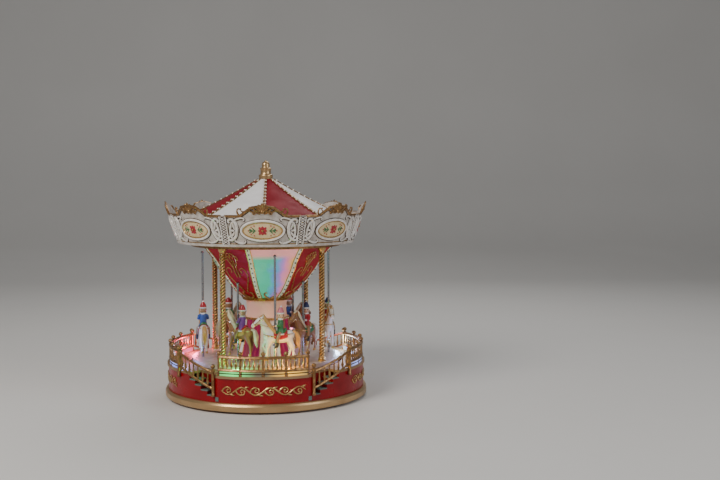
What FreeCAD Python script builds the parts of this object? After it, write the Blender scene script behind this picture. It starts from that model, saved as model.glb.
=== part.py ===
import FreeCAD, Part
import math
import os

# A lit carousel music box. Millimetres, +Z up, the table is Z = 0, the front faces -Y.
# Azimuths are degrees about Z, counted from the front toward +X.

# Base, from the table up
FOOT_RADIUS = 8.0
FOOT_HEIGHT = 2.5
FOOT_CIRCLE = 98.0
PLATE_THICKNESS = 2.5
PLATE_CLEARANCE = 0.2
DRUM_RADIUS = 121.0
DRUM_WALL = 3.0
DRUM_TOP = 40.0
TRIM_WIDTH = 4.0
TRIM_HEIGHT = 9.5
DECK_THICKNESS = 3.0
DECK_OVERHANG = 1.5
DECK_BORE = 94.0
BOSS_RADIUS = 4.0
BOSS_HEIGHT = 15.0
BOSS_AZIMUTHS = (75.0, 105.0, 255.0, 285.0)
SCREW_RADIUS = 1.5
SCREW_HEAD_RADIUS = 2.8
SCREW_HEAD_HEIGHT = 1.5
SCREW_LENGTH = 10.0

# Stairs in the drum and their railings
STAIR_FOOT = 28.0
STAIR_HEAD = 46.0
STAIR_STEPS = 4
STAIR_RISE = 5.0
STAIR_INNER = 104.0
STAIR_WALL = 2.0
RAILING_HEAD = 55.0
RAILING_DEPTH = 2.5
RAILING_BAR = 2.6
RAILING_LOW_FOOT = 26.0
RAILING_HIGH_FOOT = 45.0
RAILING_BALUSTERS = 7
NEWEL_RADIUS = 2.4
NEWEL_BOTTOM = 19.0
NEWEL_TOP = 51.0

# Fence
FENCE_RADIUS = 118.5
RAIL_WIDTH = 4.0
RAIL_HEIGHT = 3.0
BALUSTER_RADIUS = 1.5
BALUSTER_HEIGHT = 12.0
POST_HALF_WIDTH = 2.0
BALL_RADIUS = 2.7
FRONT_FENCE_END = 25.5
SIDE_FENCE_START = 57.0
FRONT_BAYS = 4
SIDE_BAYS = 5
BAY_BALUSTERS = 4
DIFFUSER_HEIGHT = 5.0
DIFFUSER_DEPTH = 3.0
LAMP_RADIUS = 2.0
LAMP_HEIGHT = 4.0
LAMP_CIRCLE = 112.0
LAMP_COUNT = 12

# Scroll ornament on the drum
SCROLL_RELIEF = 1.2
SCROLL_BEND = 5.0
SCROLL_BAR = 1.5
SCROLL_HALF_WAVES = 8
SCROLL_HEIGHT = 25.0

# Turning unit
ROTOR_PHASE = 9.25
TABLE_RADIUS = 92.0
TABLE_THICKNESS = 5.0
TABLE_RISE = 5.0
HUB_RADIUS = 12.0
SPINDLE_RADIUS = 4.0
SPINDLE_FIT = 0.05
SHOULDER_RADIUS = 9.0
SHOULDER_TOP = 25.0
FLANGE_RADIUS = 14.0
FLANGE_HEIGHT = 4.0
WASHER_THICKNESS = 1.0
RUNNING_GAP = 0.3
COLUMN_CIRCLE = 84.0
COLUMN_RADIUS = 3.6
COLUMN_COUNT = 4
COLLAR_RADIUS = 5.0
COLLAR_HEIGHT = 5.0
CORE_TOP = 186.0
CORE_WALL = 2.0
CORE_RIB_WIDTH = 5.0
CORE_BORE_GAP = 0.6
SKIRT_TOP = 96.0
NECK_TOP = 118.0
BAND_TOP = 123.0
SKIRT_FOOT_APOTHEM = 34.0
SKIRT_HEAD_APOTHEM = 27.0
NECK_APOTHEM = 24.0
BAND_APOTHEM = 29.0
FLARE_APOTHEM = 78.0
CEILING_THICKNESS = 3.0
CEILING_INNER = 70.0

# Drive
GEAR_MODULE = 0.9
TABLE_TEETH = 60
SMALL_TEETH = 12
LARGE_TEETH = 40
PINION_TEETH = 10
GEAR_WIDTH = 4.0
TABLE_GEAR_Z = 31.0
LARGE_GEAR_Z = 24.0
IDLER_RADIUS = 1.5
IDLER_SHOULDER = 3.0
MOTOR_RADIUS = 9.0
MOTOR_SHAFT_RADIUS = 1.0
CAM_WIDTH = 3.0
CAM_CREST = 18.0
CAM_WAVES = 4
LIFT = 5.0

# Horses and poles
HORSE_COUNT = 8
OUTER_CIRCLE = 79.0
INNER_CIRCLE = 56.0
POLE_RADIUS = 1.35
POLE_FIT = 0.05
POLE_BALL = 2.0
OUTER_POLE_TOP = 179.5
INNER_POLE_TOP = 144.0
HORSE_HEIGHT = 82.0
HORSE_POLE_X = 4.0

# Canopy
PANELS = 8
SOFFIT_GAP = 2.0
SOFFIT_THICKNESS = 2.5
CANOPY_POST_RADIUS = 3.0
CORNICE_FOOT_RADIUS = 107.0
CORNICE_HEAD_RADIUS = 119.0
CORNICE_FOOT = 190.0
CORNICE_HEAD = 226.0
CORNICE_WALL = 3.0
FLANGE_THICKNESS = 2.5
GUTTER_Z = 216.0
CREST_TOP = 240.5
CREST_HALF_WIDTH = 17.0
CREST_SHOULDER = 27.0
RELIEF = 1.6
OVAL_HALF_WIDTH = 21.0
OVAL_HALF_HEIGHT = 11.0
OVAL_HEIGHT = 209.0
PILASTER_WIDTH = 8.0
BEAD_HEIGHT = 3.0
ROOF_TOP_RADIUS = 8.0
ROOF_TOP = 268.0
ROOF_EAVES_RADIUS = 100.0
ROOF_WALL = 2.0
ROOF_SAG = 2.0
ROOF_JOINT = 0.2
ROOF_RIB_WIDTH = 4.0
ROOF_RIB_HEIGHT = 2.0
FINIAL_HEIGHT = 21.0

# Electrics
BOARD_SIZE = (40.0, 30.0, 1.6)
SPEAKER_RADIUS = 15.0
SPEAKER_HEIGHT = 8.0
SPEAKER_PLACE = (-99.0, 0.0)
BOARD_PLACE = (-20.0, -46.0)
SWITCH_SIZE = (20.0, 7.0, 8.0)
SWITCH_Z = 20.0
SWITCH_TRAVEL = 4.0
SWITCH_FIT = 0.1
KNOB_WIDTH = 5.0
KNOB_REACH = 2.0
JACK_RADIUS = 5.0
JACK_PIN_RADIUS = 1.0
JACK_BORE = 2.8
JACK_DEPTH = 10.0
JACK_AZIMUTH = 165.0

# Heights and radii that follow from the sizes above
PLATE_TOP = FOOT_HEIGHT + PLATE_THICKNESS
DRUM_INNER = DRUM_RADIUS - DRUM_WALL
TRIM_TOP = FOOT_HEIGHT + TRIM_HEIGHT
DECK_TOP = DRUM_TOP + DECK_THICKNESS
TABLE_TOP = DECK_TOP + TABLE_RISE
LOW_RAIL = DECK_TOP + DIFFUSER_HEIGHT
LOW_RAIL_TOP = LOW_RAIL + RAIL_HEIGHT
HIGH_RAIL = LOW_RAIL_TOP + BALUSTER_HEIGHT
HIGH_RAIL_TOP = HIGH_RAIL + RAIL_HEIGHT
STEP_ANGLE = (STAIR_HEAD - STAIR_FOOT) / STAIR_STEPS
SPINDLE_BORE = SPINDLE_RADIUS + SPINDLE_FIT
CORE_BORE = SPINDLE_RADIUS + CORE_BORE_GAP
CEILING_TOP = CORE_TOP + CEILING_THICKNESS
SOFFIT_Z = CEILING_TOP + SOFFIT_GAP
SOFFIT_TOP = SOFFIT_Z + SOFFIT_THICKNESS
IDLER_DISTANCE = GEAR_MODULE * (TABLE_TEETH + SMALL_TEETH) / 2
MOTOR_DISTANCE = GEAR_MODULE * (LARGE_TEETH + PINION_TEETH) / 2
GUTTER_TOP = GUTTER_Z + FLANGE_THICKNESS
CORNICE_LEAN = (CORNICE_HEAD_RADIUS - CORNICE_FOOT_RADIUS) / (CORNICE_HEAD - CORNICE_FOOT)

ORIGIN = FreeCAD.Vector(0, 0, 0)
UP = FreeCAD.Vector(0, 0, 1)


def point(x, y, z):
    return FreeCAD.Vector(x, y, z)


def polar(radius, azimuth, z=0.0):
    """Point at an azimuth counted from the front toward +X."""
    angle = math.radians(azimuth)
    return point(radius * math.sin(angle), -radius * math.cos(angle), z)


def face_of(points):
    return Part.Face(Part.makePolygon(points + points[:1]))


def revolved(profile, start=0.0, sweep=360.0):
    """Solid of revolution about Z of a closed (radius, height) outline, from an azimuth."""
    solid = face_of([point(r, 0, z) for r, z in profile]).revolve(ORIGIN, UP, sweep)
    solid.rotate(ORIGIN, UP, start - 90.0)
    return solid


def sector(inner, outer, low, high, start=0.0, end=360.0):
    outline = [(inner, low), (outer, low), (outer, high), (inner, high)]
    return revolved(outline, start, end - start)


def disc(radius, low, high, centre=ORIGIN):
    return Part.makeCylinder(radius, high - low, point(centre.x, centre.y, low))


def turned(shape, azimuth):
    """Copy of a shape made at the front, carried round to an azimuth."""
    copy = shape.copy()
    copy.rotate(ORIGIN, UP, azimuth)
    return copy


def block(width, depth, low, high, front):
    """Upright box centred on the front's mid-line, from Y = front back by its depth."""
    return Part.makeBox(width, depth, high - low, point(-width / 2, front, low))


def faceted(profile, sides, centre=ORIGIN, turn=0.0):
    """Ruled loft through regular polygons, one for each (radius, height) of the profile."""
    wires = []
    for radius, height in profile:
        corners = []
        for index in range(sides):
            angle = math.radians(turn + 360.0 * index / sides)
            corners.append(centre + point(radius * math.cos(angle), radius * math.sin(angle), height))
        wires.append(Part.makePolygon(corners + corners[:1]))
    return Part.makeLoft(wires, True, True)


def group(solids):
    """Separate solids of one node."""
    return Part.makeCompound(solids)


def fused(shapes):
    return shapes[0].fuse(shapes[1:]).removeSplitter()


def stair_sides():
    """The four flights: mirrored pairs at the front and at the back, as (mirror, turn)."""
    return [(1, 0.0), (-1, 0.0), (1, 180.0), (-1, 180.0)]


def on_each_stair(shape):
    """Copies of a flight made at the right of the front, for all four flights."""
    copies = []
    for side, turn in stair_sides():
        copy = shape if side > 0 else shape.mirror(ORIGIN, point(1, 0, 0))
        copies.append(turned(copy, turn))
    return copies


def base_plate():
    plate = disc(DRUM_INNER - PLATE_CLEARANCE, FOOT_HEIGHT, PLATE_TOP)
    cuts = []
    for azimuth in BOSS_AZIMUTHS:
        centre = polar(DRUM_INNER - BOSS_RADIUS, azimuth)
        cuts.append(disc(SCREW_HEAD_RADIUS, FOOT_HEIGHT, FOOT_HEIGHT + SCREW_HEAD_HEIGHT, centre))
        cuts.append(disc(SCREW_RADIUS, FOOT_HEIGHT, PLATE_TOP, centre))
    slots = 5
    pitch = 2 * SPEAKER_RADIUS / (slots + 1)
    for index in range(slots):
        x = SPEAKER_PLACE[0] - SPEAKER_RADIUS + (index + 1) * pitch
        slot = Part.makeBox(pitch / 2, SPEAKER_RADIUS, PLATE_THICKNESS)
        slot.translate(point(x - pitch / 4, SPEAKER_PLACE[1] - SPEAKER_RADIUS / 2, FOOT_HEIGHT))
        cuts.append(slot)
    return plate.cut(cuts)


def rubber_feet():
    return group([disc(FOOT_RADIUS, 0, FOOT_HEIGHT, polar(FOOT_CIRCLE, 45 + 90 * k)) for k in range(4)])


def plate_screws():
    screws = []
    for azimuth in BOSS_AZIMUTHS:
        centre = polar(DRUM_INNER - BOSS_RADIUS, azimuth)
        head = disc(SCREW_HEAD_RADIUS, FOOT_HEIGHT, FOOT_HEIGHT + SCREW_HEAD_HEIGHT, centre)
        shank = disc(SCREW_RADIUS, FOOT_HEIGHT, FOOT_HEIGHT + SCREW_LENGTH, centre)
        screws.append(head.fuse(shank))
    return group(screws)


def switch_window():
    width = KNOB_WIDTH + SWITCH_TRAVEL + 2 * RUNNING_GAP
    height = KNOB_WIDTH + 2 * RUNNING_GAP
    middle = SWITCH_Z + SWITCH_SIZE[2] / 2
    return turned(block(width, 2 * DRUM_WALL, middle - height / 2, middle + height / 2,
                        -DRUM_RADIUS - DRUM_WALL / 2), 180)


def jack_barrel(radius, inner, outer):
    barrel = Part.makeCylinder(radius, outer - inner, polar(inner, 0, SWITCH_Z + JACK_RADIUS),
                               point(0, -1, 0))
    return turned(barrel, JACK_AZIMUTH)


def base_drum():
    drum = sector(DRUM_INNER, DRUM_RADIUS, FOOT_HEIGHT, DRUM_TOP)
    bosses = []
    for azimuth in BOSS_AZIMUTHS:
        centre = polar(DRUM_INNER - BOSS_RADIUS, azimuth)
        web = turned(block(BOSS_RADIUS, BOSS_RADIUS + DRUM_WALL / 2, PLATE_TOP, PLATE_TOP + BOSS_HEIGHT,
                           -DRUM_INNER - DRUM_WALL / 2), azimuth)
        bosses += [disc(BOSS_RADIUS, PLATE_TOP, PLATE_TOP + BOSS_HEIGHT, centre), web]
    drum = drum.fuse(bosses)
    cuts = [disc(SCREW_RADIUS, FOOT_HEIGHT, FOOT_HEIGHT + SCREW_LENGTH, polar(DRUM_INNER - BOSS_RADIUS, a))
            for a in BOSS_AZIMUTHS]
    notch = sector(STAIR_INNER, DRUM_RADIUS + DRUM_WALL, TRIM_TOP, DRUM_TOP, STAIR_FOOT, STAIR_HEAD)
    cuts += on_each_stair(notch)
    cuts += [switch_window(), jack_barrel(JACK_RADIUS, DRUM_INNER - DRUM_WALL, DRUM_RADIUS + DRUM_WALL)]
    return drum.cut(cuts)


def base_trim_ring():
    outer = DRUM_RADIUS + TRIM_WIDTH
    soft = TRIM_WIDTH / 4
    return revolved([(DRUM_RADIUS, FOOT_HEIGHT), (outer - soft, FOOT_HEIGHT), (outer, FOOT_HEIGHT + soft),
                     (outer, TRIM_TOP - 3 * soft), (outer - soft, TRIM_TOP - soft),
                     (outer - 2 * soft, TRIM_TOP), (DRUM_RADIUS, TRIM_TOP)])


def base_deck():
    deck = sector(DECK_BORE, DRUM_RADIUS + DECK_OVERHANG, DRUM_TOP, DECK_TOP)
    notch = sector(STAIR_INNER, DRUM_RADIUS + TRIM_WIDTH, DRUM_TOP, DECK_TOP, STAIR_FOOT, STAIR_HEAD)
    edge = sector(DRUM_RADIUS, DRUM_RADIUS + TRIM_WIDTH, DRUM_TOP, DECK_TOP,
                  STAIR_FOOT - 3, SIDE_FENCE_START)
    return deck.cut(on_each_stair(notch) + on_each_stair(edge))


def stair_flights():
    """Each flight fills its notch: steps, the wall behind them and the two end walls."""
    shapes = [sector(STAIR_INNER - STAIR_WALL, STAIR_INNER, TRIM_TOP, DRUM_TOP,
                     STAIR_FOOT - 1, STAIR_HEAD + 1)]
    for end in (STAIR_FOOT - 1, STAIR_HEAD):
        shapes.append(sector(STAIR_INNER - STAIR_WALL, DRUM_INNER, TRIM_TOP, DRUM_TOP, end, end + 1))
    for index in range(STAIR_STEPS):
        height = DRUM_TOP - STAIR_RISE * (STAIR_STEPS - index)
        start = STAIR_FOOT + index * STEP_ANGLE
        shapes.append(sector(STAIR_INNER, DRUM_RADIUS, TRIM_TOP, height, start, start + STEP_ANGLE))
    return group(on_each_stair(fused(shapes)))


def ball_post(radius, low, high, centre):
    """Square post under a small neck and an eight-sided ball."""
    post = faceted([(radius * math.sqrt(2), low), (radius * math.sqrt(2), high)], 4, centre, 45)
    ball = faceted([(BALL_RADIUS * 0.45, high), (BALL_RADIUS * 0.9, high + BALL_RADIUS * 0.7),
                    (BALL_RADIUS, high + BALL_RADIUS * 1.15), (BALL_RADIUS * 0.8, high + BALL_RADIUS * 1.7),
                    (BALL_RADIUS * 0.2, high + BALL_RADIUS * 2)], 8, centre)
    return [post, ball]


def baluster(low, high, centre):
    """Turned vase shape on six sides."""
    slim = BALUSTER_RADIUS * 0.6
    return faceted([(slim, low), (BALUSTER_RADIUS, low + (high - low) * 0.35), (slim, high)], 6, centre)


def fence(start, end, bays):
    half = RAIL_WIDTH / 2
    shapes = [sector(FENCE_RADIUS - half, FENCE_RADIUS + half, LOW_RAIL, LOW_RAIL_TOP, start, end),
              sector(FENCE_RADIUS - half, FENCE_RADIUS + half, HIGH_RAIL, HIGH_RAIL_TOP, start, end)]
    bay = (end - start) / bays
    for index in range(bays + 1):
        centre = polar(FENCE_RADIUS, start + index * bay)
        for shape in ball_post(POST_HALF_WIDTH, DECK_TOP, HIGH_RAIL_TOP, ORIGIN):
            shape.translate(centre)
            shapes.append(shape)
    for index in range(bays * (BAY_BALUSTERS + 1)):
        if index % (BAY_BALUSTERS + 1):
            azimuth = start + index * bay / (BAY_BALUSTERS + 1)
            shapes.append(baluster(LOW_RAIL_TOP, HIGH_RAIL, polar(FENCE_RADIUS, azimuth)))
    return fused(shapes)


def sloped_bar(low_foot, low_head):
    """Bar of the railing that climbs round the drum from the newel to the fence."""
    spans = 5
    wires = []
    for index in range(spans + 1):
        share = index / spans
        azimuth = STAIR_FOOT + (RAILING_HEAD - STAIR_FOOT) * share
        low = low_foot + (low_head - low_foot) * share
        inner = DRUM_RADIUS - RAILING_DEPTH
        outer = DRUM_RADIUS + RAILING_DEPTH
        corners = [polar(inner, azimuth, low), polar(outer, azimuth, low),
                   polar(outer, azimuth, low + RAILING_BAR), polar(inner, azimuth, low + RAILING_BAR)]
        wires.append(Part.makePolygon(corners + corners[:1]))
    return Part.makeLoft(wires, True, True)


def stair_railings():
    middle = DRUM_RADIUS + RAILING_DEPTH / 2
    shapes = [sloped_bar(RAILING_LOW_FOOT, LOW_RAIL), sloped_bar(RAILING_HIGH_FOOT, HIGH_RAIL)]
    shapes += ball_post(NEWEL_RADIUS, NEWEL_BOTTOM, NEWEL_TOP, polar(middle, STAIR_FOOT))
    shapes += ball_post(NEWEL_RADIUS, DRUM_TOP - STAIR_RISE, HIGH_RAIL_TOP, polar(middle, RAILING_HEAD))
    for index in range(1, RAILING_BALUSTERS + 1):
        share = index / (RAILING_BALUSTERS + 1)
        low = RAILING_LOW_FOOT + (LOW_RAIL - RAILING_LOW_FOOT) * share + RAILING_BAR / 2
        high = RAILING_HIGH_FOOT + (HIGH_RAIL - RAILING_HIGH_FOOT) * share + RAILING_BAR / 2
        azimuth = STAIR_FOOT + (RAILING_HEAD - STAIR_FOOT) * share
        shapes.append(baluster(low, high, polar(middle + BALUSTER_RADIUS / 2, azimuth)))
    railing = fused(shapes).cut(disc(DRUM_RADIUS, 0, CORNICE_FOOT))
    return group(on_each_stair(railing))


def fence_spans():
    return [(-FRONT_FENCE_END, FRONT_FENCE_END), (SIDE_FENCE_START, 180 - SIDE_FENCE_START),
            (180 - FRONT_FENCE_END, 180 + FRONT_FENCE_END), (180 + SIDE_FENCE_START, 360 - SIDE_FENCE_START)]


def led_diffuser():
    """Clear strips under the fence, notched round the posts that pass through them."""
    strips = []
    half = DIFFUSER_DEPTH / 2
    for (start, end), bays in zip(fence_spans(), (FRONT_BAYS, SIDE_BAYS, FRONT_BAYS, SIDE_BAYS)):
        strip = sector(FENCE_RADIUS - half, FENCE_RADIUS + half, DECK_TOP, LOW_RAIL, start, end)
        posts = []
        for index in range(bays + 1):
            post = ball_post(POST_HALF_WIDTH, DECK_TOP, LOW_RAIL, ORIGIN)[0]
            post.translate(polar(FENCE_RADIUS, start + index * (end - start) / bays))
            posts.append(post)
        strips += strip.cut(posts).Solids
    return group(strips)


def led_lamps():
    lamps = []
    for index in range(LAMP_COUNT):
        azimuth = 360.0 * (index + 0.5) / LAMP_COUNT
        lamps.append(faceted([(LAMP_RADIUS, DECK_TOP), (LAMP_RADIUS, DECK_TOP + LAMP_HEIGHT / 2),
                              (LAMP_RADIUS / 2, DECK_TOP + LAMP_HEIGHT)], 8, polar(LAMP_CIRCLE, azimuth)))
    return group([lamp for lamp, index in zip(lamps, range(LAMP_COUNT)) if index % 3 != 1])


def scroll_wave():
    """Wavy vine of half rings with a curl in every bend, made flat and wrapped on the drum."""
    inner = SCROLL_BEND - SCROLL_BAR / 2
    outer = SCROLL_BEND + SCROLL_BAR / 2
    depth = DRUM_RADIUS / 2
    back = -DRUM_RADIUS - SCROLL_RELIEF
    vine = []
    for index in range(SCROLL_HALF_WAVES):
        x = (index - (SCROLL_HALF_WAVES - 1) / 2) * 2 * SCROLL_BEND
        base = point(x, back, SCROLL_HEIGHT)
        bend = Part.makeCylinder(outer, depth, base, point(0, 1, 0)).cut(
            Part.makeCylinder(inner, depth, base, point(0, 1, 0)))
        side = 0 if index % 2 else -2 * outer
        half = Part.makeBox(4 * outer, depth, 2 * outer, point(x - 2 * outer, back, SCROLL_HEIGHT + side))
        vine.append(bend.cut(half))
    shell = sector(DRUM_RADIUS, DRUM_RADIUS + SCROLL_RELIEF, TRIM_TOP, DRUM_TOP)
    return fused(vine).common(shell)


def scroll_ornaments():
    wave = scroll_wave()
    solids = []
    for azimuth in (0, 90, 270):
        solids += turned(wave, azimuth).Solids
    return group(solids)


def gear(teeth, low, width, bore, first):
    """Spur gear with straight-sided teeth; the first tooth points to an angle from +X."""
    pitch = GEAR_MODULE * teeth / 2
    root = pitch - 1.25 * GEAR_MODULE
    tip = pitch + 0.9 * GEAR_MODULE
    quarter = math.radians(90.0 / teeth)
    corners = []
    for index in range(teeth):
        middle = math.radians(first + 360.0 * index / teeth)
        for radius, share in ((root, -1.15), (tip, -0.4), (tip, 0.4), (root, 1.15)):
            angle = middle + share * quarter
            corners.append(point(radius * math.cos(angle), radius * math.sin(angle), low))
    solid = face_of(corners).extrude(point(0, 0, width))
    return solid.cut(disc(bore, low, low + width))


def idler_centre():
    return point(0, IDLER_DISTANCE, 0)


def motor_centre():
    return point(MOTOR_DISTANCE, IDLER_DISTANCE, 0)


def turntable_gear():
    return gear(TABLE_TEETH, TABLE_GEAR_Z, GEAR_WIDTH, HUB_RADIUS, 90.0)


def reduction_gear():
    bore = IDLER_RADIUS + SPINDLE_FIT
    small = gear(SMALL_TEETH, TABLE_GEAR_Z, GEAR_WIDTH, bore, -90.0 + 180.0 / SMALL_TEETH)
    large = gear(LARGE_TEETH, LARGE_GEAR_Z, GEAR_WIDTH, bore, 0.0)
    sleeve = disc(IDLER_SHOULDER, LARGE_GEAR_Z, TABLE_GEAR_Z).cut(disc(bore, LARGE_GEAR_Z, TABLE_GEAR_Z))
    wheel = fused([large, sleeve, small])
    wheel.translate(idler_centre())
    return wheel


def motor_pinion():
    toothed = gear(PINION_TEETH, LARGE_GEAR_Z, GEAR_WIDTH, MOTOR_SHAFT_RADIUS, 180.0 + 180.0 / PINION_TEETH)
    shaft = disc(MOTOR_SHAFT_RADIUS, PLATE_TOP + PLATE_THICKNESS, LARGE_GEAR_Z + GEAR_WIDTH)
    pinion = fused([toothed, shaft])
    pinion.translate(motor_centre())
    return pinion


def motor():
    top = LARGE_GEAR_Z - GEAR_WIDTH
    can = disc(MOTOR_RADIUS, PLATE_TOP, top, motor_centre())
    return can.cut(disc(MOTOR_SHAFT_RADIUS + SPINDLE_FIT, PLATE_TOP + PLATE_THICKNESS, top, motor_centre()))


def idler_shaft():
    shoulder = disc(IDLER_SHOULDER, PLATE_TOP, LARGE_GEAR_Z - RUNNING_GAP, idler_centre())
    return shoulder.fuse(disc(IDLER_RADIUS, PLATE_TOP, TABLE_GEAR_Z + GEAR_WIDTH, idler_centre()))


def horse_place(index):
    """Circle radius, azimuth and pole top of a horse; outer and inner horses take turns."""
    outer = index % 2 == 0
    azimuth = ROTOR_PHASE + 360.0 * index / HORSE_COUNT
    return (OUTER_CIRCLE if outer else INNER_CIRCLE), azimuth, (OUTER_POLE_TOP if outer else INNER_POLE_TOP)


def cam_track(radius, phase):
    """Wall whose top waves once for each of its horses, highest under the poles at rest."""
    steps = 8 * CAM_WAVES
    wires = []
    for index in range(steps):
        azimuth = phase + 360.0 * index / steps
        top = CAM_CREST - LIFT * (1 - math.cos(2 * math.pi * CAM_WAVES * index / steps)) / 2
        inner = radius - CAM_WIDTH / 2
        outer = radius + CAM_WIDTH / 2
        corners = [polar(inner, azimuth, PLATE_TOP), polar(outer, azimuth, PLATE_TOP),
                   polar(outer, azimuth, top), polar(inner, azimuth, top)]
        wires.append(Part.makePolygon(corners + corners[:1]))
    return Part.makeLoft(wires, True, True, True)


def cam_ring():
    return group([cam_track(radius, azimuth) for radius, azimuth, top in (horse_place(0), horse_place(1))])


def central_post():
    return revolved([(0, PLATE_TOP), (FLANGE_RADIUS, PLATE_TOP), (FLANGE_RADIUS, PLATE_TOP + FLANGE_HEIGHT),
                     (SHOULDER_RADIUS, PLATE_TOP + FLANGE_HEIGHT), (SHOULDER_RADIUS, SHOULDER_TOP),
                     (SPINDLE_RADIUS, SHOULDER_TOP), (SPINDLE_RADIUS, SOFFIT_Z),
                     (CANOPY_POST_RADIUS, SOFFIT_Z),
                     (CANOPY_POST_RADIUS, ROOF_TOP + FINIAL_HEIGHT / 3), (0, ROOF_TOP + FINIAL_HEIGHT / 3)])


def thrust_washer():
    return sector(SPINDLE_RADIUS, SHOULDER_RADIUS, SHOULDER_TOP, SHOULDER_TOP + WASHER_THICKNESS)


def turntable():
    low = TABLE_TOP - TABLE_THICKNESS
    foot = SHOULDER_TOP + WASHER_THICKNESS + RUNNING_GAP
    table = revolved([(SPINDLE_BORE, foot), (HUB_RADIUS, foot), (HUB_RADIUS, low), (TABLE_RADIUS, low),
                      (TABLE_RADIUS, TABLE_TOP), (SPINDLE_BORE, TABLE_TOP)])
    holes = []
    for index in range(HORSE_COUNT):
        radius, azimuth, top = horse_place(index)
        holes.append(disc(POLE_RADIUS + POLE_FIT, low, TABLE_TOP, polar(radius, azimuth)))
    return table.cut(holes)


def rope_columns():
    profile = [(0, TABLE_TOP), (COLLAR_RADIUS, TABLE_TOP), (COLLAR_RADIUS, TABLE_TOP + COLLAR_HEIGHT / 2),
               (COLUMN_RADIUS, TABLE_TOP + COLLAR_HEIGHT), (COLUMN_RADIUS, CORE_TOP - COLLAR_HEIGHT),
               (COLLAR_RADIUS, CORE_TOP - COLLAR_HEIGHT / 2), (COLLAR_RADIUS, CORE_TOP), (0, CORE_TOP)]
    columns = []
    for index in range(COLUMN_COUNT):
        column = revolved(profile)
        column.translate(polar(COLUMN_CIRCLE, ROTOR_PHASE + 45 + 90 * index))
        columns.append(column)
    return group(columns)


def eight_sided(profile):
    """Loft through octagons given by their apothems, flat sides toward the rotor's panels."""
    corner = math.cos(math.pi / PANELS)
    return faceted([(apothem / corner, height) for height, apothem in profile], PANELS,
                   ORIGIN, ROTOR_PHASE - 90 + 180.0 / PANELS)


def spindle_hole():
    return disc(CORE_BORE, 0, CORE_TOP)


def core_skirt():
    """Draped foot of the core, moulded with the plain neck above it."""
    rise = SKIRT_TOP - TABLE_TOP
    drop = SKIRT_FOOT_APOTHEM - SKIRT_HEAD_APOTHEM
    skirt = eight_sided([(TABLE_TOP, SKIRT_FOOT_APOTHEM),
                         (TABLE_TOP + rise * 0.3, SKIRT_FOOT_APOTHEM - drop * 0.5),
                         (SKIRT_TOP, SKIRT_HEAD_APOTHEM)])
    neck = eight_sided([(SKIRT_TOP, NECK_APOTHEM), (NECK_TOP, NECK_APOTHEM)])
    return fused([skirt, neck]).cut(spindle_hole())


def waist_band():
    middle = (NECK_TOP + BAND_TOP) / 2
    return eight_sided([(NECK_TOP, NECK_APOTHEM), (middle, BAND_APOTHEM + CORE_WALL),
                        (BAND_TOP, BAND_APOTHEM)]).cut(spindle_hole())


def flare(inset):
    """Trumpet of the core above its waist, drawn in by an inset."""
    rise = CORE_TOP - BAND_TOP
    spread = FLARE_APOTHEM - BAND_APOTHEM
    shape = ((0.0, 0.0), (0.12, 0.19), (0.29, 0.37), (0.57, 0.62), (0.73, 0.73), (0.89, 0.88), (1.0, 1.0))
    return eight_sided([(BAND_TOP + rise * up, BAND_APOTHEM + spread * out - inset) for up, out in shape])


def core_flare():
    """Ribs at the eight corners of the trumpet, and the panels between them."""
    shell = flare(0.0).cut(flare(CORE_WALL))
    bars = []
    for index in range(PANELS):
        bar = block(CORE_RIB_WIDTH, FLARE_APOTHEM * 1.2, BAND_TOP, CORE_TOP, -FLARE_APOTHEM * 1.2)
        bars.append(turned(bar, ROTOR_PHASE + (index + 0.5) * 360.0 / PANELS))
    ribs = []
    for bar in bars:
        ribs += shell.common(bar).Solids
    panels = shell.cut(bars).Solids
    panels.sort(key=lambda solid: math.atan2(solid.CenterOfMass.x, -solid.CenterOfMass.y))
    return ribs, panels


def ceiling_ring():
    return sector(CEILING_INNER, TABLE_RADIUS, CORE_TOP, CEILING_TOP)


def pole(index):
    radius, azimuth, top = horse_place(index)
    centre = polar(radius, azimuth)
    rod = disc(POLE_RADIUS, CAM_CREST + RUNNING_GAP, top - POLE_BALL, centre)
    ball = faceted([(POLE_RADIUS, top - 2 * POLE_BALL), (POLE_BALL, top - POLE_BALL),
                    (POLE_BALL / 3, top)], 8, centre)
    return fused([rod, ball])


def oval(x, y, z, half_length, half_width, tilt, sides=6):
    """Oval outline whose long way lies at a tilt in the XZ plane."""
    lean = math.radians(tilt)
    corners = []
    for index in range(sides):
        angle = 2 * math.pi * (index + 0.5) / sides
        along = half_length * math.cos(angle)
        corners.append(point(x + along * math.cos(lean), y + half_width * math.sin(angle),
                             z + along * math.sin(lean)))
    return Part.makePolygon(corners + corners[:1])


def limb(sections, y=0.0, sides=6):
    """Ruled loft through ovals given as (x, z, half length, half width, tilt)."""
    return Part.makeLoft([oval(x, y, z, a, b, tilt, sides) for x, z, a, b, tilt in sections], True, True)


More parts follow.
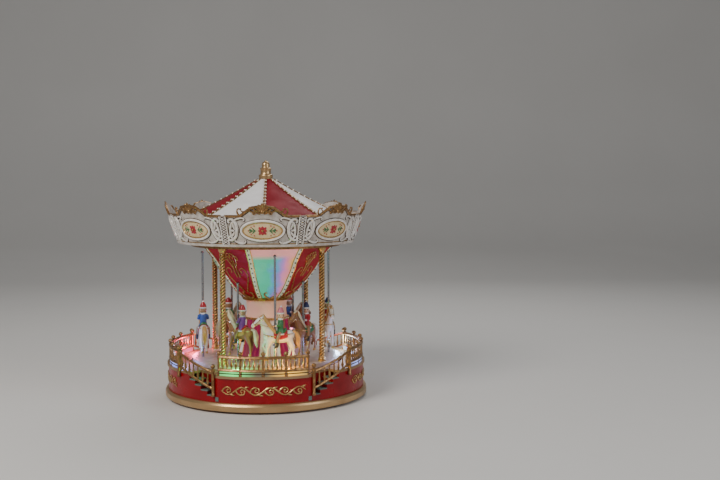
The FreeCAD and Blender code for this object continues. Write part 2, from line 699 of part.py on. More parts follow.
def horse_body():
    shapes = [limb([(-17, 1, 3.5, 3, 90), (-13, 0.5, 6.8, 5.2, 90), (-4, -0.5, 7, 5.6, 90),
                    (6, -0.5, 7, 5.6, 90), (13, 0.5, 7, 5.2, 90), (17, 2, 4, 3.2, 90)], sides=8),
              limb([(-7, -0.3, 7.6, 6.2, 90), (6, -0.3, 7.6, 6.2, 90)], sides=8),
              limb([(11, 1, 7, 4.2, -25), (16.5, 12, 5, 3, -25), (20.5, 21, 4, 2.6, -20)]),
              limb([(17, 22.5, 2.6, 2.3, 60), (22, 20.5, 4, 2.8, 60), (27, 16.5, 2.7, 2.2, 60),
                    (31, 13.5, 2.2, 1.9, 60)]),
              limb([(-14.5, 4, 2, 1.6, 60), (-21, 3.5, 2.4, 1.9, 30), (-24, -5, 2.6, 2, 0),
                    (-23, -15, 1, 0.8, 0)])]
    for side in (-1, 1):
        shapes.append(limb([(18.5, 22, 1.4, 1.1, 0), (17.5, 29, 0.4, 0.4, 0)], 1.6 * side))
    return shapes


def horse_legs():
    """Galloping legs: one fore leg lifted, the others reaching down."""
    leaps = ((11, -2, 18, -10, 13, -20, -3), (11, -2, 14, -14, 15, -27, 3),
             (-12, -2, -15, -14, -12, -27, -3), (-12, -2, -17, -13, -17, -26, 3))
    legs = []
    for top_x, top_z, knee_x, knee_z, hoof_x, hoof_z, y in leaps:
        legs.append(limb([(top_x, top_z, 4, 2.6, 0), (knee_x, knee_z, 2, 1.7, 0),
                          (hoof_x, hoof_z + 3, 1.4, 1.3, 0), (hoof_x + 1, hoof_z, 2.1, 1.8, 0)], y))
    return legs


def rider():
    """Doll-like rider in a coat and a cap, holding the pole."""
    shapes = [limb([(-2.5, 4, 5, 6, 0), (-2.5, 10, 3.8, 4.2, 0), (-2.5, 16, 3.4, 4.3, 0),
                    (-2.5, 22, 1.8, 2, 0)]),
              limb([(-2.5, 20.5, 1.6, 1.6, 0), (-2.2, 24, 3.7, 3.6, 0), (-2.2, 28, 3.7, 3.6, 0),
                    (-2.4, 31, 2, 2, 0)]),
              limb([(-2.4, 28, 4.3, 4.2, 0), (-2.4, 31, 3.8, 3.8, 0), (-3, 36.5, 1, 1, 0)])]
    for side in (-1, 1):
        shapes.append(limb([(-2.5, 19, 1.7, 1.6, 60), (HORSE_POLE_X - 1, 13.5, 1.4, 1.3, 60)], 3.2 * side))
        shapes.append(limb([(-1, 5, 2.6, 1.9, 0), (2, -3, 2, 1.6, 0), (2, -9, 1.6, 1.5, 0),
                            (3.5, -11, 2.4, 1.5, 0)],
                           5.6 * side))
    return shapes


def figure():
    """Horse with its rider as one moulding at the front, facing -X, bored for its pole."""
    shape = fused(horse_body() + horse_legs() + rider())
    shape.translate(point(-HORSE_POLE_X, 0, HORSE_HEIGHT))
    shape = shape.cut(disc(POLE_RADIUS, 0, CORNICE_FOOT))
    shape.rotate(ORIGIN, UP, 180)
    return shape


def horse(index, shape):
    radius, azimuth, top = horse_place(index)
    copy = shape.copy()
    copy.translate(polar(radius, 0))
    return turned(copy, azimuth)


def cornice_radius(z):
    return CORNICE_FOOT_RADIUS + CORNICE_LEAN * (z - CORNICE_FOOT)


def leaning_shell(low, high, inner_offset, outer_offset):
    """Conical band that follows the cornice's lean between two offsets from its outer face."""
    return revolved([(cornice_radius(low) + inner_offset, low), (cornice_radius(low) + outer_offset, low),
                     (cornice_radius(high) + outer_offset, high),
                     (cornice_radius(high) + inner_offset, high)])


def canopy_soffit():
    radius = cornice_radius(SOFFIT_Z) - CORNICE_WALL - RUNNING_GAP
    return sector(CANOPY_POST_RADIUS, radius, SOFFIT_Z, SOFFIT_TOP)


def cornice():
    """Leaning wall with its inner ledges, moulded with its pilasters and bead."""
    wall = leaning_shell(CORNICE_FOOT, CORNICE_HEAD, -CORNICE_WALL, 0)
    ledge = sector(CORNICE_FOOT_RADIUS - 4 * CORNICE_WALL, cornice_radius(SOFFIT_TOP) - CORNICE_WALL / 2,
                   SOFFIT_TOP, SOFFIT_TOP + FLANGE_THICKNESS)
    gutter = sector(ROOF_EAVES_RADIUS - 2 * ROOF_WALL, cornice_radius(GUTTER_Z) - CORNICE_WALL / 2,
                    GUTTER_Z, GUTTER_TOP)
    bead = leaning_shell(CORNICE_FOOT, CORNICE_FOOT + BEAD_HEIGHT, -CORNICE_WALL, RELIEF)
    strip = block(PILASTER_WIDTH, CORNICE_HEAD_RADIUS, CORNICE_FOOT, CORNICE_HEAD,
                  -CORNICE_HEAD_RADIUS - 2 * RELIEF)
    pilaster = leaning_shell(CORNICE_FOOT, CORNICE_HEAD, -CORNICE_WALL, RELIEF).common(strip)
    pilasters = [turned(pilaster, (k + 0.5) * 360.0 / PANELS) for k in range(PANELS)]
    return fused([wall, ledge, gutter, bead] + pilasters)


def medallions():
    ellipse = Part.Ellipse(ORIGIN, OVAL_HALF_WIDTH, OVAL_HALF_HEIGHT).toShape()
    tool = Part.Face(Part.Wire(ellipse)).extrude(point(0, 0, CORNICE_HEAD_RADIUS))
    tool.rotate(ORIGIN, point(1, 0, 0), 90)
    tool.translate(point(0, -DRUM_RADIUS / 4, OVAL_HEIGHT))
    oval_plate = leaning_shell(CORNICE_FOOT + BEAD_HEIGHT, CORNICE_HEAD, 0, RELIEF).common(tool).Solids[0]
    return group([turned(oval_plate, k * 360.0 / PANELS) for k in range(PANELS)])


def crest_step(half, rise):
    """Block across the foot of a crest."""
    return Part.makeBox(2 * half, CORNICE_HEAD_RADIUS, rise,
                        point(-half, -2 * CORNICE_HEAD_RADIUS + DRUM_RADIUS / 2, CORNICE_HEAD))


def crest_outline():
    """Palmette: a tall middle lobe between two lower ones on each side, on low shoulders."""
    height = CREST_TOP - CORNICE_HEAD
    half = CREST_HALF_WIDTH
    lobes = ((0.0, 0.62, 0.38), (0.36, 0.52, 0.32), (0.72, 0.34, 0.28))
    shapes = [crest_step(CREST_SHOULDER, height * 0.2), crest_step(half, height * 0.34)]
    for across, up, size in lobes:
        for side in ((-1, 1) if across else (1,)):
            middle = point(side * across * half, -DRUM_RADIUS / 2, CORNICE_HEAD + height * up)
            shapes.append(Part.makeCylinder(height * size, CORNICE_HEAD_RADIUS, middle, point(0, -1, 0)))
    return fused(shapes)


def crests():
    crest = leaning_shell(CORNICE_HEAD, CREST_TOP, -CORNICE_WALL, 0).common(crest_outline()).Solids[0]
    return group([turned(crest, k * 360.0 / PANELS) for k in range(PANELS)])


def roof_line(lift):
    """Points of the sagging roof line from its top to its eaves, raised by a lift."""
    steps = 4
    line = []
    for index in range(steps + 1):
        share = index / steps
        radius = ROOF_TOP_RADIUS + (ROOF_EAVES_RADIUS - ROOF_TOP_RADIUS) * share
        sag = ROOF_SAG * 4 * share * (1 - share)
        eaves = GUTTER_TOP + ROOF_WALL
        line.append((radius, ROOF_TOP + (eaves - ROOF_TOP) * share - sag + lift))
    return line


def roof_panels(first):
    """Every other panel of the roof, between the ribs."""
    pitch = 360.0 / PANELS
    outline = roof_line(0.0) + list(reversed(roof_line(-ROOF_WALL)))
    return group([revolved(outline, k * pitch + ROOF_JOINT, pitch - 2 * ROOF_JOINT)
                  for k in range(first, PANELS, 2)])


def roof_ribs():
    outline = roof_line(ROOF_RIB_HEIGHT) + list(reversed(roof_line(0.0)))
    bar = block(ROOF_RIB_WIDTH, ROOF_EAVES_RADIUS, GUTTER_Z, CREST_TOP + ROOF_TOP, -ROOF_EAVES_RADIUS)
    rib = revolved(outline).common(bar).Solids[0]
    return group([turned(rib, k * 360.0 / PANELS) for k in range(PANELS)])


def finial():
    low = ROOF_TOP + ROOF_RIB_HEIGHT
    rise = FINIAL_HEIGHT
    shape = revolved([(CANOPY_POST_RADIUS, ROOF_TOP - ROOF_WALL), (ROOF_TOP_RADIUS, ROOF_TOP - ROOF_WALL),
                      (ROOF_TOP_RADIUS, low), (ROOF_TOP_RADIUS + 1, low),
                      (ROOF_TOP_RADIUS + 1, low + rise * 0.1),
                      (ROOF_TOP_RADIUS - 2, low + rise * 0.16), (ROOF_TOP_RADIUS - 2, low + rise * 0.46),
                      (ROOF_TOP_RADIUS - 3.6, low + rise * 0.5), (ROOF_TOP_RADIUS - 3.6, low + rise * 0.72),
                      (ROOF_TOP_RADIUS - 5.5, low + rise * 0.95), (0, low + rise), (0, ROOF_TOP + rise / 3),
                      (CANOPY_POST_RADIUS, ROOF_TOP + rise / 3)])
    return shape


def circuit_board():
    length, width, thickness = BOARD_SIZE
    board = Part.makeBox(length, width, thickness)
    chip = Part.makeBox(length / 4, width / 4, thickness, point(length / 3, width / 3, thickness))
    shape = fused([board, chip])
    shape.translate(point(BOARD_PLACE[0], BOARD_PLACE[1], PLATE_TOP))
    return shape


def speaker():
    shape = revolved([(0, PLATE_TOP), (SPEAKER_RADIUS, PLATE_TOP),
                      (SPEAKER_RADIUS, PLATE_TOP + SPEAKER_HEIGHT / 4),
                      (SPEAKER_RADIUS / 2, PLATE_TOP + SPEAKER_HEIGHT * 0.6),
                      (SPEAKER_RADIUS / 2, PLATE_TOP + SPEAKER_HEIGHT), (0, PLATE_TOP + SPEAKER_HEIGHT)])
    shape.translate(point(SPEAKER_PLACE[0], SPEAKER_PLACE[1], 0))
    return shape


def slide_switch():
    width, depth, height = SWITCH_SIZE
    body = block(width, depth, SWITCH_Z, SWITCH_Z + height, -DRUM_INNER).common(
        disc(DRUM_INNER, SWITCH_Z, SWITCH_Z + height))
    return turned(body, 180).cut(switch_track())


def switch_track():
    """Pocket in the switch body that guides the slider."""
    width = KNOB_WIDTH + SWITCH_TRAVEL + 2 * RUNNING_GAP
    height = KNOB_WIDTH + 2 * RUNNING_GAP
    middle = SWITCH_Z + SWITCH_SIZE[2] / 2
    slot = block(width, SWITCH_SIZE[1] / 2, middle - height / 2, middle + height / 2, -DRUM_INNER)
    return turned(slot, 180)


def switch_slider():
    middle = SWITCH_Z + SWITCH_SIZE[2] / 2
    low = -DRUM_RADIUS - KNOB_REACH
    depth = -DRUM_INNER + SWITCH_SIZE[1] / 2 - SWITCH_FIT - low
    knob = block(KNOB_WIDTH, depth, middle - KNOB_WIDTH / 2, middle + KNOB_WIDTH / 2, low)
    knob.translate(point(SWITCH_TRAVEL / 2, 0, 0))
    return turned(knob, 180)


def dc_jack():
    barrel = jack_barrel(JACK_RADIUS, DRUM_RADIUS - JACK_DEPTH, DRUM_RADIUS)
    bore = jack_barrel(JACK_BORE, DRUM_RADIUS - JACK_DEPTH + DRUM_WALL, DRUM_RADIUS + DRUM_WALL)
    pin = jack_barrel(JACK_PIN_RADIUS, DRUM_RADIUS - JACK_DEPTH + DRUM_WALL / 2, DRUM_RADIUS - DRUM_WALL / 2)
    return barrel.cut(bore).fuse(pin)


def all_parts():
    front, right, back, left = fence_spans()
    ribs, panels = core_flare()
    parts = {
        "base_plate": base_plate(), "rubber_feet": rubber_feet(), "plate_screws": plate_screws(),
        "base_drum": base_drum(), "base_trim_ring": base_trim_ring(), "base_deck": base_deck(),
        "stair_flights": stair_flights(), "stair_railings": stair_railings(),
        "fence_front": fence(*front, FRONT_BAYS), "fence_right": fence(*right, SIDE_BAYS),
        "fence_back": fence(*back, FRONT_BAYS), "fence_left": fence(*left, SIDE_BAYS),
        "led_diffuser": led_diffuser(), "led_lamps": led_lamps(), "scroll_ornaments": scroll_ornaments(),
        "turntable_gear": turntable_gear(), "reduction_gear": reduction_gear(),
        "motor_pinion": motor_pinion(),
        "motor": motor(), "idler_shaft": idler_shaft(), "cam_ring": cam_ring(),
        "central_post": central_post(), "thrust_washer": thrust_washer(), "turntable": turntable(),
        "rope_columns": rope_columns(), "core_skirt": core_skirt(),
        "waist_band": waist_band(), "core_ribs": group(ribs), "core_picture_panels": group(panels[0::2]),
        "core_red_panels": group(panels[1::2]), "ceiling_ring": ceiling_ring(),
        "canopy_soffit": canopy_soffit(), "cornice": cornice(),
        "medallions": medallions(), "crests": crests(), "roof_red_panels": roof_panels(0),
        "roof_white_panels": roof_panels(1), "roof_ribs": roof_ribs(), "finial": finial(),
        "circuit_board": circuit_board(), "speaker": speaker(), "slide_switch": slide_switch(),
        "switch_slider": switch_slider(), "dc_jack": dc_jack(),
    }
    shape = figure()
    for index in range(HORSE_COUNT):
        parts["pole_%d" % (index + 1)] = pole(index)
        parts["horse_%d" % (index + 1)] = horse(index, shape)
    return parts


def main():
    os.makedirs("parts", exist_ok=True)
    for name, shape in all_parts().items():
        shape.exportStep("parts/%s.step" % name)
        print(name, len(shape.Solids), round(shape.Volume, 1), shape.isValid())


main()
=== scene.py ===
"""Looks of a lit carousel music box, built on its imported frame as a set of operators."""

import math

import bmesh
import bpy
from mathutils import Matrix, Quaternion, Vector


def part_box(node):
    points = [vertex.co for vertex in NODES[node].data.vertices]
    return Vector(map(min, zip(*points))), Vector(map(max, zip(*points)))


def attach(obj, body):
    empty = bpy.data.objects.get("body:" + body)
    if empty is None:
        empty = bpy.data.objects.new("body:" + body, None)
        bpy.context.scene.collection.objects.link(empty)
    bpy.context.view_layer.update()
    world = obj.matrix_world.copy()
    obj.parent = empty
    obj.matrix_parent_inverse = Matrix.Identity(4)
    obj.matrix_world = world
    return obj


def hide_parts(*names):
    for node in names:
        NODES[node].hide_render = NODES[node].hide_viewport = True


bl_info = {
    "name": "Carousel music box",
    "version": (1, 0, 0),
    "blender": (4, 5, 0),
    "location": "View3D > Sidebar > Carousel",
    "description": "Builds the pieces and finishes of a lit carousel music box",
    "category": "Object",
}

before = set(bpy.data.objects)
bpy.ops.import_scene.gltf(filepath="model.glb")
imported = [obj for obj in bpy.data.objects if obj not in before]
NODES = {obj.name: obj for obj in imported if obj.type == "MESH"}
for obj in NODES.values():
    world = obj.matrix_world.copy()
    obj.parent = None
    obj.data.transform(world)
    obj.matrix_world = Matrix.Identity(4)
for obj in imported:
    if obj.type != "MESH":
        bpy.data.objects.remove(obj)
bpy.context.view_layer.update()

# Lengths are millimetres and MM turns them into metres when a mesh is made; azimuths are degrees
MM = 0.001
PANELS = 8
PITCH = 360.0 / PANELS
# Azimuth of the middle of the turning unit's first panel
ROTOR_PHASE = 9.25
COLUMNS = 4
COLUMN_CIRCLE = 84.0
HORSE_COUNT = 8
FENCE_RADIUS = 118.5
DRUM_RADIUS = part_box("base_drum")[1].x / MM
DECK_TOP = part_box("base_deck")[1].z / MM
TABLE_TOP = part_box("turntable")[1].z / MM
CORE_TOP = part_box("core_red_panels")[1].z / MM
BAND_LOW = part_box("waist_band")[0].z / MM
BAND_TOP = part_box("waist_band")[1].z / MM
CORNICE_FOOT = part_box("cornice")[0].z / MM
CORNICE_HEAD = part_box("cornice")[1].z / MM
CREST_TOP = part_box("crests")[1].z / MM
FINIAL_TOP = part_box("finial")[1].z / MM
CORNICE_FOOT_RADIUS = 107.0
CORNICE_HEAD_RADIUS = 119.0
RELIEF = 1.6
LEAN = (CORNICE_HEAD_RADIUS - CORNICE_FOOT_RADIUS) / (CORNICE_HEAD - CORNICE_FOOT)
BAND_APOTHEM = 29.0
FLARE_APOTHEM = 78.0
# Shares of the trumpet's height and of its growth between those two
FLARE_SHAPE = ((0.0, 0.0), (0.12, 0.19), (0.29, 0.37), (0.57, 0.62), (0.73, 0.73), (0.89, 0.88), (1.0, 1.0))
STAIR_FOOT = 28.0
RAILING_HEAD = 55.0

# Least radius of a turned tip, angles under which shading is soft, and how near points become one
TIP = 0.01
CREASE = 38.0
SOFT_CREASE = 50.0
MERGE_DISTANCE = 0.01
# The two sides of a piece's middle
SIDES = (-1, 1)


class CarouselSizes(bpy.types.PropertyGroup):
    """Sizes of the dressed pieces that a user would change."""

    baluster_radius: bpy.props.FloatProperty(
        name="Baluster", description="Widest radius of a fence baluster", default=1.6 * MM, unit="LENGTH")
    ball_radius: bpy.props.FloatProperty(
        name="Ball", description="Radius of the balls on the fence posts", default=2.7 * MM, unit="LENGTH")
    rope_radius: bpy.props.FloatProperty(
        name="Rope", description="Radius over the ridges of a column", default=3.7 * MM, unit="LENGTH")
    rope_lead: bpy.props.FloatProperty(
        name="Rope lead", description="Rise of a ridge in one turn", default=15.0 * MM, unit="LENGTH")
    stud_radius: bpy.props.FloatProperty(
        name="Stud", description="Radius of the studs on the roof ribs", default=1.1 * MM, unit="LENGTH")
    studs_per_rib: bpy.props.IntProperty(
        name="Studs", description="Studs along one edge of a roof rib", default=13)
    bulbs_per_rib: bpy.props.IntProperty(
        name="Bulbs", description="Bulbs along one strip of the centre", default=12)
    scroll_radius: bpy.props.FloatProperty(
        name="Scroll", description="Thickness of the gold vine", default=0.95 * MM, unit="LENGTH")
    lamp_power: bpy.props.FloatProperty(
        name="Lamp power", description="Power of one coloured lamp in watts", default=0.06)


class CarouselColours(bpy.types.PropertyGroup):
    """Main colours of the paint."""

    red: bpy.props.FloatVectorProperty(
        name="Red", description="Lacquer of the base", subtype="COLOR", default=(0.3, 0.0005, 0.005))
    gold: bpy.props.FloatVectorProperty(
        name="Gold", description="Antique gold of the fence", subtype="COLOR", default=(0.4, 0.225, 0.09))
    ivory: bpy.props.FloatVectorProperty(
        name="Ivory", description="Ground of the cornice", subtype="COLOR", default=(0.6, 0.55, 0.5))


def sizes():
    return bpy.context.scene.carousel_sizes


def colours():
    return bpy.context.scene.carousel_colours


# Shapes: each function gives vertices in millimetres and faces


def around(count, shift=0.0):
    """Angles that share out a full turn."""
    return [2 * math.pi * (k + shift) / count for k in range(count)]


def spread(start, end, steps):
    """Numbers from one value to another in even steps."""
    return [start + (end - start) * k / steps for k in range(steps + 1)]


def mirrored(line, side):
    """Flat line, turned over about the middle where the side is -1."""
    return [(side * u, v) for u, v in line]


def polar(radius, azimuth, z):
    """Point at an azimuth in degrees, counted from the front toward +X."""
    angle = math.radians(azimuth)
    return Vector((radius * math.sin(angle), -radius * math.cos(angle), z))


def loft(rings, capped=True):
    """Skin through rings of equal length, closed round each ring."""
    count = len(rings[0])
    verts = [p for ring in rings for p in ring]
    faces = []
    for row in range(len(rings) - 1):
        for k in range(count):
            nxt = (k + 1) % count
            low, high = row * count, (row + 1) * count
            faces.append((low + k, low + nxt, high + nxt, high + k))
    if capped:
        faces.append(tuple(reversed(range(count))))
        faces.append(tuple(range((len(rings) - 1) * count, len(rings) * count)))
    return verts, faces


def lathe(profile, segments, centre=(0.0, 0.0)):
    """Turned shape from (radius, height) pairs, from the bottom up."""
    x, y = centre
    rings = []
    for radius, z in profile:
        reach = max(radius, TIP)
        rings.append([Vector((x + reach * math.cos(a), y + reach * math.sin(a), z))
                      for a in around(segments)])
    return loft(rings)


def ball(centre, radius, stretch=(1.0, 1.0, 1.0), segments=12, rows=8):
    """Ball or egg round a point."""
    profile = [(radius * math.sin(a), -radius * math.cos(a)) for a in spread(0.0, math.pi, rows)]
    verts, faces = lathe(profile, segments)
    wide, deep, tall = stretch
    return [Vector((v.x * wide, v.y * deep, v.z * tall)) + Vector(centre) for v in verts], faces


def bead(centre, radius, stretch=(1.0, 1.0, 1.0)):
    """Small ball with few faces."""
    return ball(centre, radius, stretch, 8, 6)


def knob(centre, radius, stretch=(1.0, 1.0, 1.0)):
    """Ball of middle size."""
    return ball(centre, radius, stretch, 10, 8)


def ball_top(radius, top):
    """Profile of a ball that ends a turned post, from its neck up."""
    angles = spread(0.0, math.pi, 8)[2:]
    return [(radius * math.sin(a), top - radius * (1 + math.cos(a))) for a in angles]


def sweep(points, radii, sides=6, flat=1.0, up=None):
    """Tube along a line; radii is one number or one for each point, flat squeezes it along up."""
    points = [Vector(p) for p in points]
    radii = radii if hasattr(radii, "__len__") else [radii] * len(points)
    tangents = []
    for k in range(len(points)):
        tangents.append((points[min(k + 1, len(points) - 1)] - points[max(k - 1, 0)]).normalized())
    normal = tangents[0].orthogonal().normalized()
    rings = []
    for k, (p, t, r) in enumerate(zip(points, tangents, radii)):
        normal = up(p) if up else normal
        normal = (normal - t * normal.dot(t)).normalized()
        side = t.cross(normal)
        rings.append([p + normal * (r * flat * math.cos(a)) + side * (r * math.sin(a))
                      for a in around(sides, 0.5)])
    return loft(rings)


def closed_sweep(points, radius, sides=6):
    """Tube along a closed line."""
    points = [Vector(p) for p in points]
    count = len(points)
    rings = []
    normal = None
    for k, p in enumerate(points):
        t = (points[(k + 1) % count] - points[k - 1]).normalized()
        normal = t.orthogonal() if normal is None else normal
        normal = (normal - t * normal.dot(t)).normalized()
        side = t.cross(normal)
        rings.append([p + (normal * math.cos(a) + side * math.sin(a)) * radius for a in around(sides)])
    return loft(rings + rings[:1], capped=False)


def arc_bar(outline, start, end, steps):
    """Bar with a (radius, height) outline, carried round the axis between two azimuths."""
    return loft([[polar(r, azimuth, z) for r, z in outline] for azimuth in spread(start, end, steps)])


def scroll_line(start, heading, length, bend, curl, steps, both=False):
    """Flat line whose bend tightens into a curl toward its end, or toward both ends."""
    x, y = start
    angle = math.radians(heading)
    line = [(x, y)]
    for k in range(steps):
        share = (k + 0.5) / steps
        tight = abs(2 * share - 1) if both else share
        angle += (bend + (curl - bend) * tight ** 3) * length / steps
        x += math.cos(angle) * length / steps
        y += math.sin(angle) * length / steps
        line.append((x, y))
    return line


def tapered(line, thick, thin):
    """Radius at each point of a line, thinner toward its end."""
    return spread(thick, thin, len(line) - 1)


class Form:
    """Vertices and faces of one piece, with a finish for each face."""

    def __init__(self):
        self.verts = []
        self.faces = []
        self.paint = []
        self.finishes = []

    def add(self, shape, finish):
        verts, faces = shape
        base = len(self.verts)
        if finish not in self.finishes:
            self.finishes.append(finish)
        self.verts += [tuple(v) for v in verts]
        self.faces += [tuple(base + k for k in face) for face in faces]
        self.paint += [self.finishes.index(finish)] * len(faces)
        return self

    def add_mesh(self, mesh, finish):
        """Faces of a mesh that is already in metres."""
        return self.add(mesh_shape(mesh), finish)

    def add_turned(self, parts, first=0.0, count=PANELS, step=PITCH):
        """Forms made at the front, each of one finish, repeated round the axis."""
        for part in parts:
            self.add_mesh(copies(part, count, first, step), part.finishes[0])
        return self


def mesh_shape(mesh):
    """Vertices in millimetres and faces of a mesh."""
    return [v.co / MM for v in mesh.vertices], [tuple(p.vertices) for p in mesh.polygons]


def linked(name, data):
    """New object in the scene."""
    made = bpy.data.objects.new(name, data)
    bpy.context.scene.collection.objects.link(made)
    return made


def settled(host):
    """Plain mesh of an object with its modifiers carried out; the object is taken away."""
    bpy.context.view_layer.update()
    graph = bpy.context.evaluated_depsgraph_get()
    mesh = bpy.data.meshes.new_from_object(host.evaluated_get(graph), depsgraph=graph)
    host.modifiers.clear()
    bpy.data.objects.remove(host)
    return mesh


def new_mesh(name, form, crease=CREASE, merged=True):
    """Plain mesh of a form, in metres, with outward faces and soft shading under the crease angle."""
    mesh = bpy.data.meshes.new(name)
    mesh.from_pydata([(x * MM, y * MM, z * MM) for x, y, z in form.verts], [], form.faces)
    for finish in form.finishes:
        mesh.materials.append(finish)
    mesh.polygons.foreach_set("material_index", form.paint)
    edit = bmesh.new()
    edit.from_mesh(mesh)
    if merged:
        bmesh.ops.remove_doubles(edit, verts=edit.verts, dist=MERGE_DISTANCE * MM)
    bmesh.ops.recalc_face_normals(edit, faces=edit.faces)
    edit.to_mesh(mesh)
    edit.free()
    mesh.polygons.foreach_set("use_smooth", [True] * len(mesh.polygons))
    mesh.set_sharp_from_angle(angle=math.radians(crease))
    mesh.update()
    return mesh


def new_piece(name, form, body, nodes, crease=CREASE):
    """Finished piece that rides on a body and stands for the nodes given."""
    piece = linked(name, new_mesh(name, form, crease))
    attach(piece, body)
    if nodes:
        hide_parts(*nodes)


# Node trees; in a wire, node.socket > node.socket, a socket is a name or a number


def socket(sockets, key):
    return sockets[int(key) if key.isdigit() else key]


def new_tree(name, kind, given, results):
    """Empty node tree with its named sockets."""
    tree = bpy.data.node_groups.new(name, kind)
    for way, sockets in (("INPUT", given), ("OUTPUT", results)):
        for label, socket_kind in sockets.items():
            tree.interface.new_socket(label, in_out=way, socket_type="NodeSocket" + socket_kind)
    return tree


def wired(tree, kinds, settings, wires, **nodes):
    """Adds named nodes to a tree, sets their values and joins them with wires."""
    nodes.update((name, tree.nodes.new(kind)) for name, kind in kinds.items())
    for place, value in settings.items():
        name, key = place.split(".")
        if hasattr(nodes[name], key):
            setattr(nodes[name], key, value)
        else:
            socket(nodes[name].inputs, key).default_value = value
    for wire in wires:
        (source, out), (target, into) = (end.split(".") for end in wire.split(" > "))
        tree.links.new(socket(nodes[source].outputs, out), socket(nodes[target].inputs, into))
    return nodes


# Geometry node trees for what repeats


def copying_tree(name, given, kinds, settings, wires):
    """Tree that sets instances on points, makes them real and gives them their finish."""
    tree = bpy.data.node_groups.get(name)
    if tree:
        return tree
    tree = new_tree(name, "GeometryNodeTree", {**given, "Finish": "Material"}, {"Geometry": "Geometry"})
    wired(tree, {
        "given": "NodeGroupInput", "place": "GeometryNodeInstanceOnPoints",
        "real": "GeometryNodeRealizeInstances", "paint": "GeometryNodeSetMaterial",
        "result": "NodeGroupOutput", **kinds}, settings, (
        *wires, "place.0 > real.0", "real.0 > paint.Geometry", "given.Finish > paint.Material",
        "paint.0 > result.0"))
    return tree


def turned_copies_tree():
    """Copies of a piece turned round the axis, by a first angle and a step."""
    given = {"Piece": "Object", "Count": "Int", "First": "Float", "Step": "Float"}
    return copying_tree("turned_copies", given, {
        "info": "GeometryNodeObjectInfo", "points": "GeometryNodePoints", "index": "GeometryNodeInputIndex",
        "angle": "ShaderNodeMath", "about": "ShaderNodeCombineXYZ", "turn": "FunctionNodeEulerToRotation",
    }, {"angle.operation": "MULTIPLY_ADD"}, (
        "given.Piece > info.Object", "given.Count > points.Count", "index.0 > angle.0",
        "given.Step > angle.1", "given.First > angle.2", "angle.0 > about.Z", "about.0 > turn.0",
        "points.0 > place.Points", "info.Geometry > place.Instance", "turn.0 > place.Rotation"))


def beads_tree():
    """Beads spaced evenly along a line."""
    return copying_tree("beads_on_line", {"Line": "Geometry", "Count": "Int", "Radius": "Float"}, {
        "curve": "GeometryNodeMeshToCurve", "even": "GeometryNodeResampleCurve",
        "bead": "GeometryNodeMeshUVSphere",
    }, {"bead.Segments": 8, "bead.Rings": 6}, (
        "given.Line > curve.Mesh", "curve.0 > even.Curve", "given.Count > even.Count",
        "given.Radius > bead.Radius", "even.0 > place.Points", "bead.0 > place.Instance"))


def grown(tree, mesh, values):
    """Plain mesh that a tree makes from a starting mesh and named values."""
    host = linked("host", mesh)
    modifier = host.modifiers.new("grow", "NODES")
    modifier.node_group = tree
    names = {s.name: s.identifier for s in tree.interface.items_tree if s.in_out == "INPUT"}
    for name, value in values.items():
        modifier[names[name]] = value
    return settled(host)


def copies(form, count, first, step):
    """Mesh of a one-finish form made at the front, repeated round the axis; angles in degrees."""
    pattern = linked("pattern", new_mesh("pattern", form))
    result = grown(turned_copies_tree(), bpy.data.meshes.new("start"),
                   {"Piece": pattern, "Count": count, "First": math.radians(first),
                    "Step": math.radians(step), "Finish": form.finishes[0]})
    bpy.data.objects.remove(pattern)
    return result


def beads(line, count, radius, finish):
    """Mesh of beads along a line of points in millimetres; the radius is in metres."""
    start = bpy.data.meshes.new("line")
    start.from_pydata([tuple(Vector(p) * MM) for p in line], [(k, k + 1) for k in range(len(line) - 1)], [])
    return grown(beads_tree(), start, {"Count": count, "Radius": radius, "Finish": finish})


# Finishes


def worn_paint_group():
    """Paint that is rubbed and shaded in soft patches, with fine grain for the bump."""
    tree = bpy.data.node_groups.get("worn_paint")
    if tree:
        return tree
    tree = new_tree("worn_paint", "ShaderNodeTree", {
        "Color": "Color", "Shade": "Color", "Scale": "Float", "Amount": "Float", "Smooth": "Float",
        "Rough": "Float"}, {"Color": "Color", "Roughness": "Float", "Height": "Float"})
    wired(tree, {
        "given": "NodeGroupInput", "result": "NodeGroupOutput", "place": "ShaderNodeTexCoord",
        "patches": "ShaderNodeTexNoise", "grain": "ShaderNodeTexNoise", "fine": "ShaderNodeMath",
        "band": "ShaderNodeMapRange", "share": "ShaderNodeMath", "tint": "ShaderNodeMix",
        "gloss": "ShaderNodeMix",
    }, {
        "fine.operation": "MULTIPLY", "fine.1": 4.0, "share.operation": "MULTIPLY", "tint.data_type": "RGBA",
        "patches.Detail": 4.0, "grain.Detail": 3.0, "band.From Min": 0.36, "band.From Max": 0.68,
    }, (
        "place.Object > patches.Vector", "place.Object > grain.Vector", "given.Scale > patches.Scale",
        "given.Scale > fine.0", "fine.0 > grain.Scale", "patches.Fac > band.Value", "band.0 > share.0",
        "given.Amount > share.1", "share.0 > tint.Factor", "given.Color > tint.6", "given.Shade > tint.7",
        "band.0 > gloss.Factor", "given.Smooth > gloss.2", "given.Rough > gloss.3", "tint.2 > result.Color",
        "gloss.0 > result.Roughness", "grain.Fac > result.Height"))
    return tree


GRAIN_DEPTH = 0.4


def rgba(colour):
    return (*colour, 1.0)


def new_finish(name, kinds, settings, wires):
    """Finish with named nodes wired to its shader, and those nodes."""
    made = bpy.data.materials.new(name)
    made.use_nodes = True
    shader = made.node_tree.nodes["Principled BSDF"]
    return made, wired(made.node_tree, kinds, settings, wires, shader=shader)


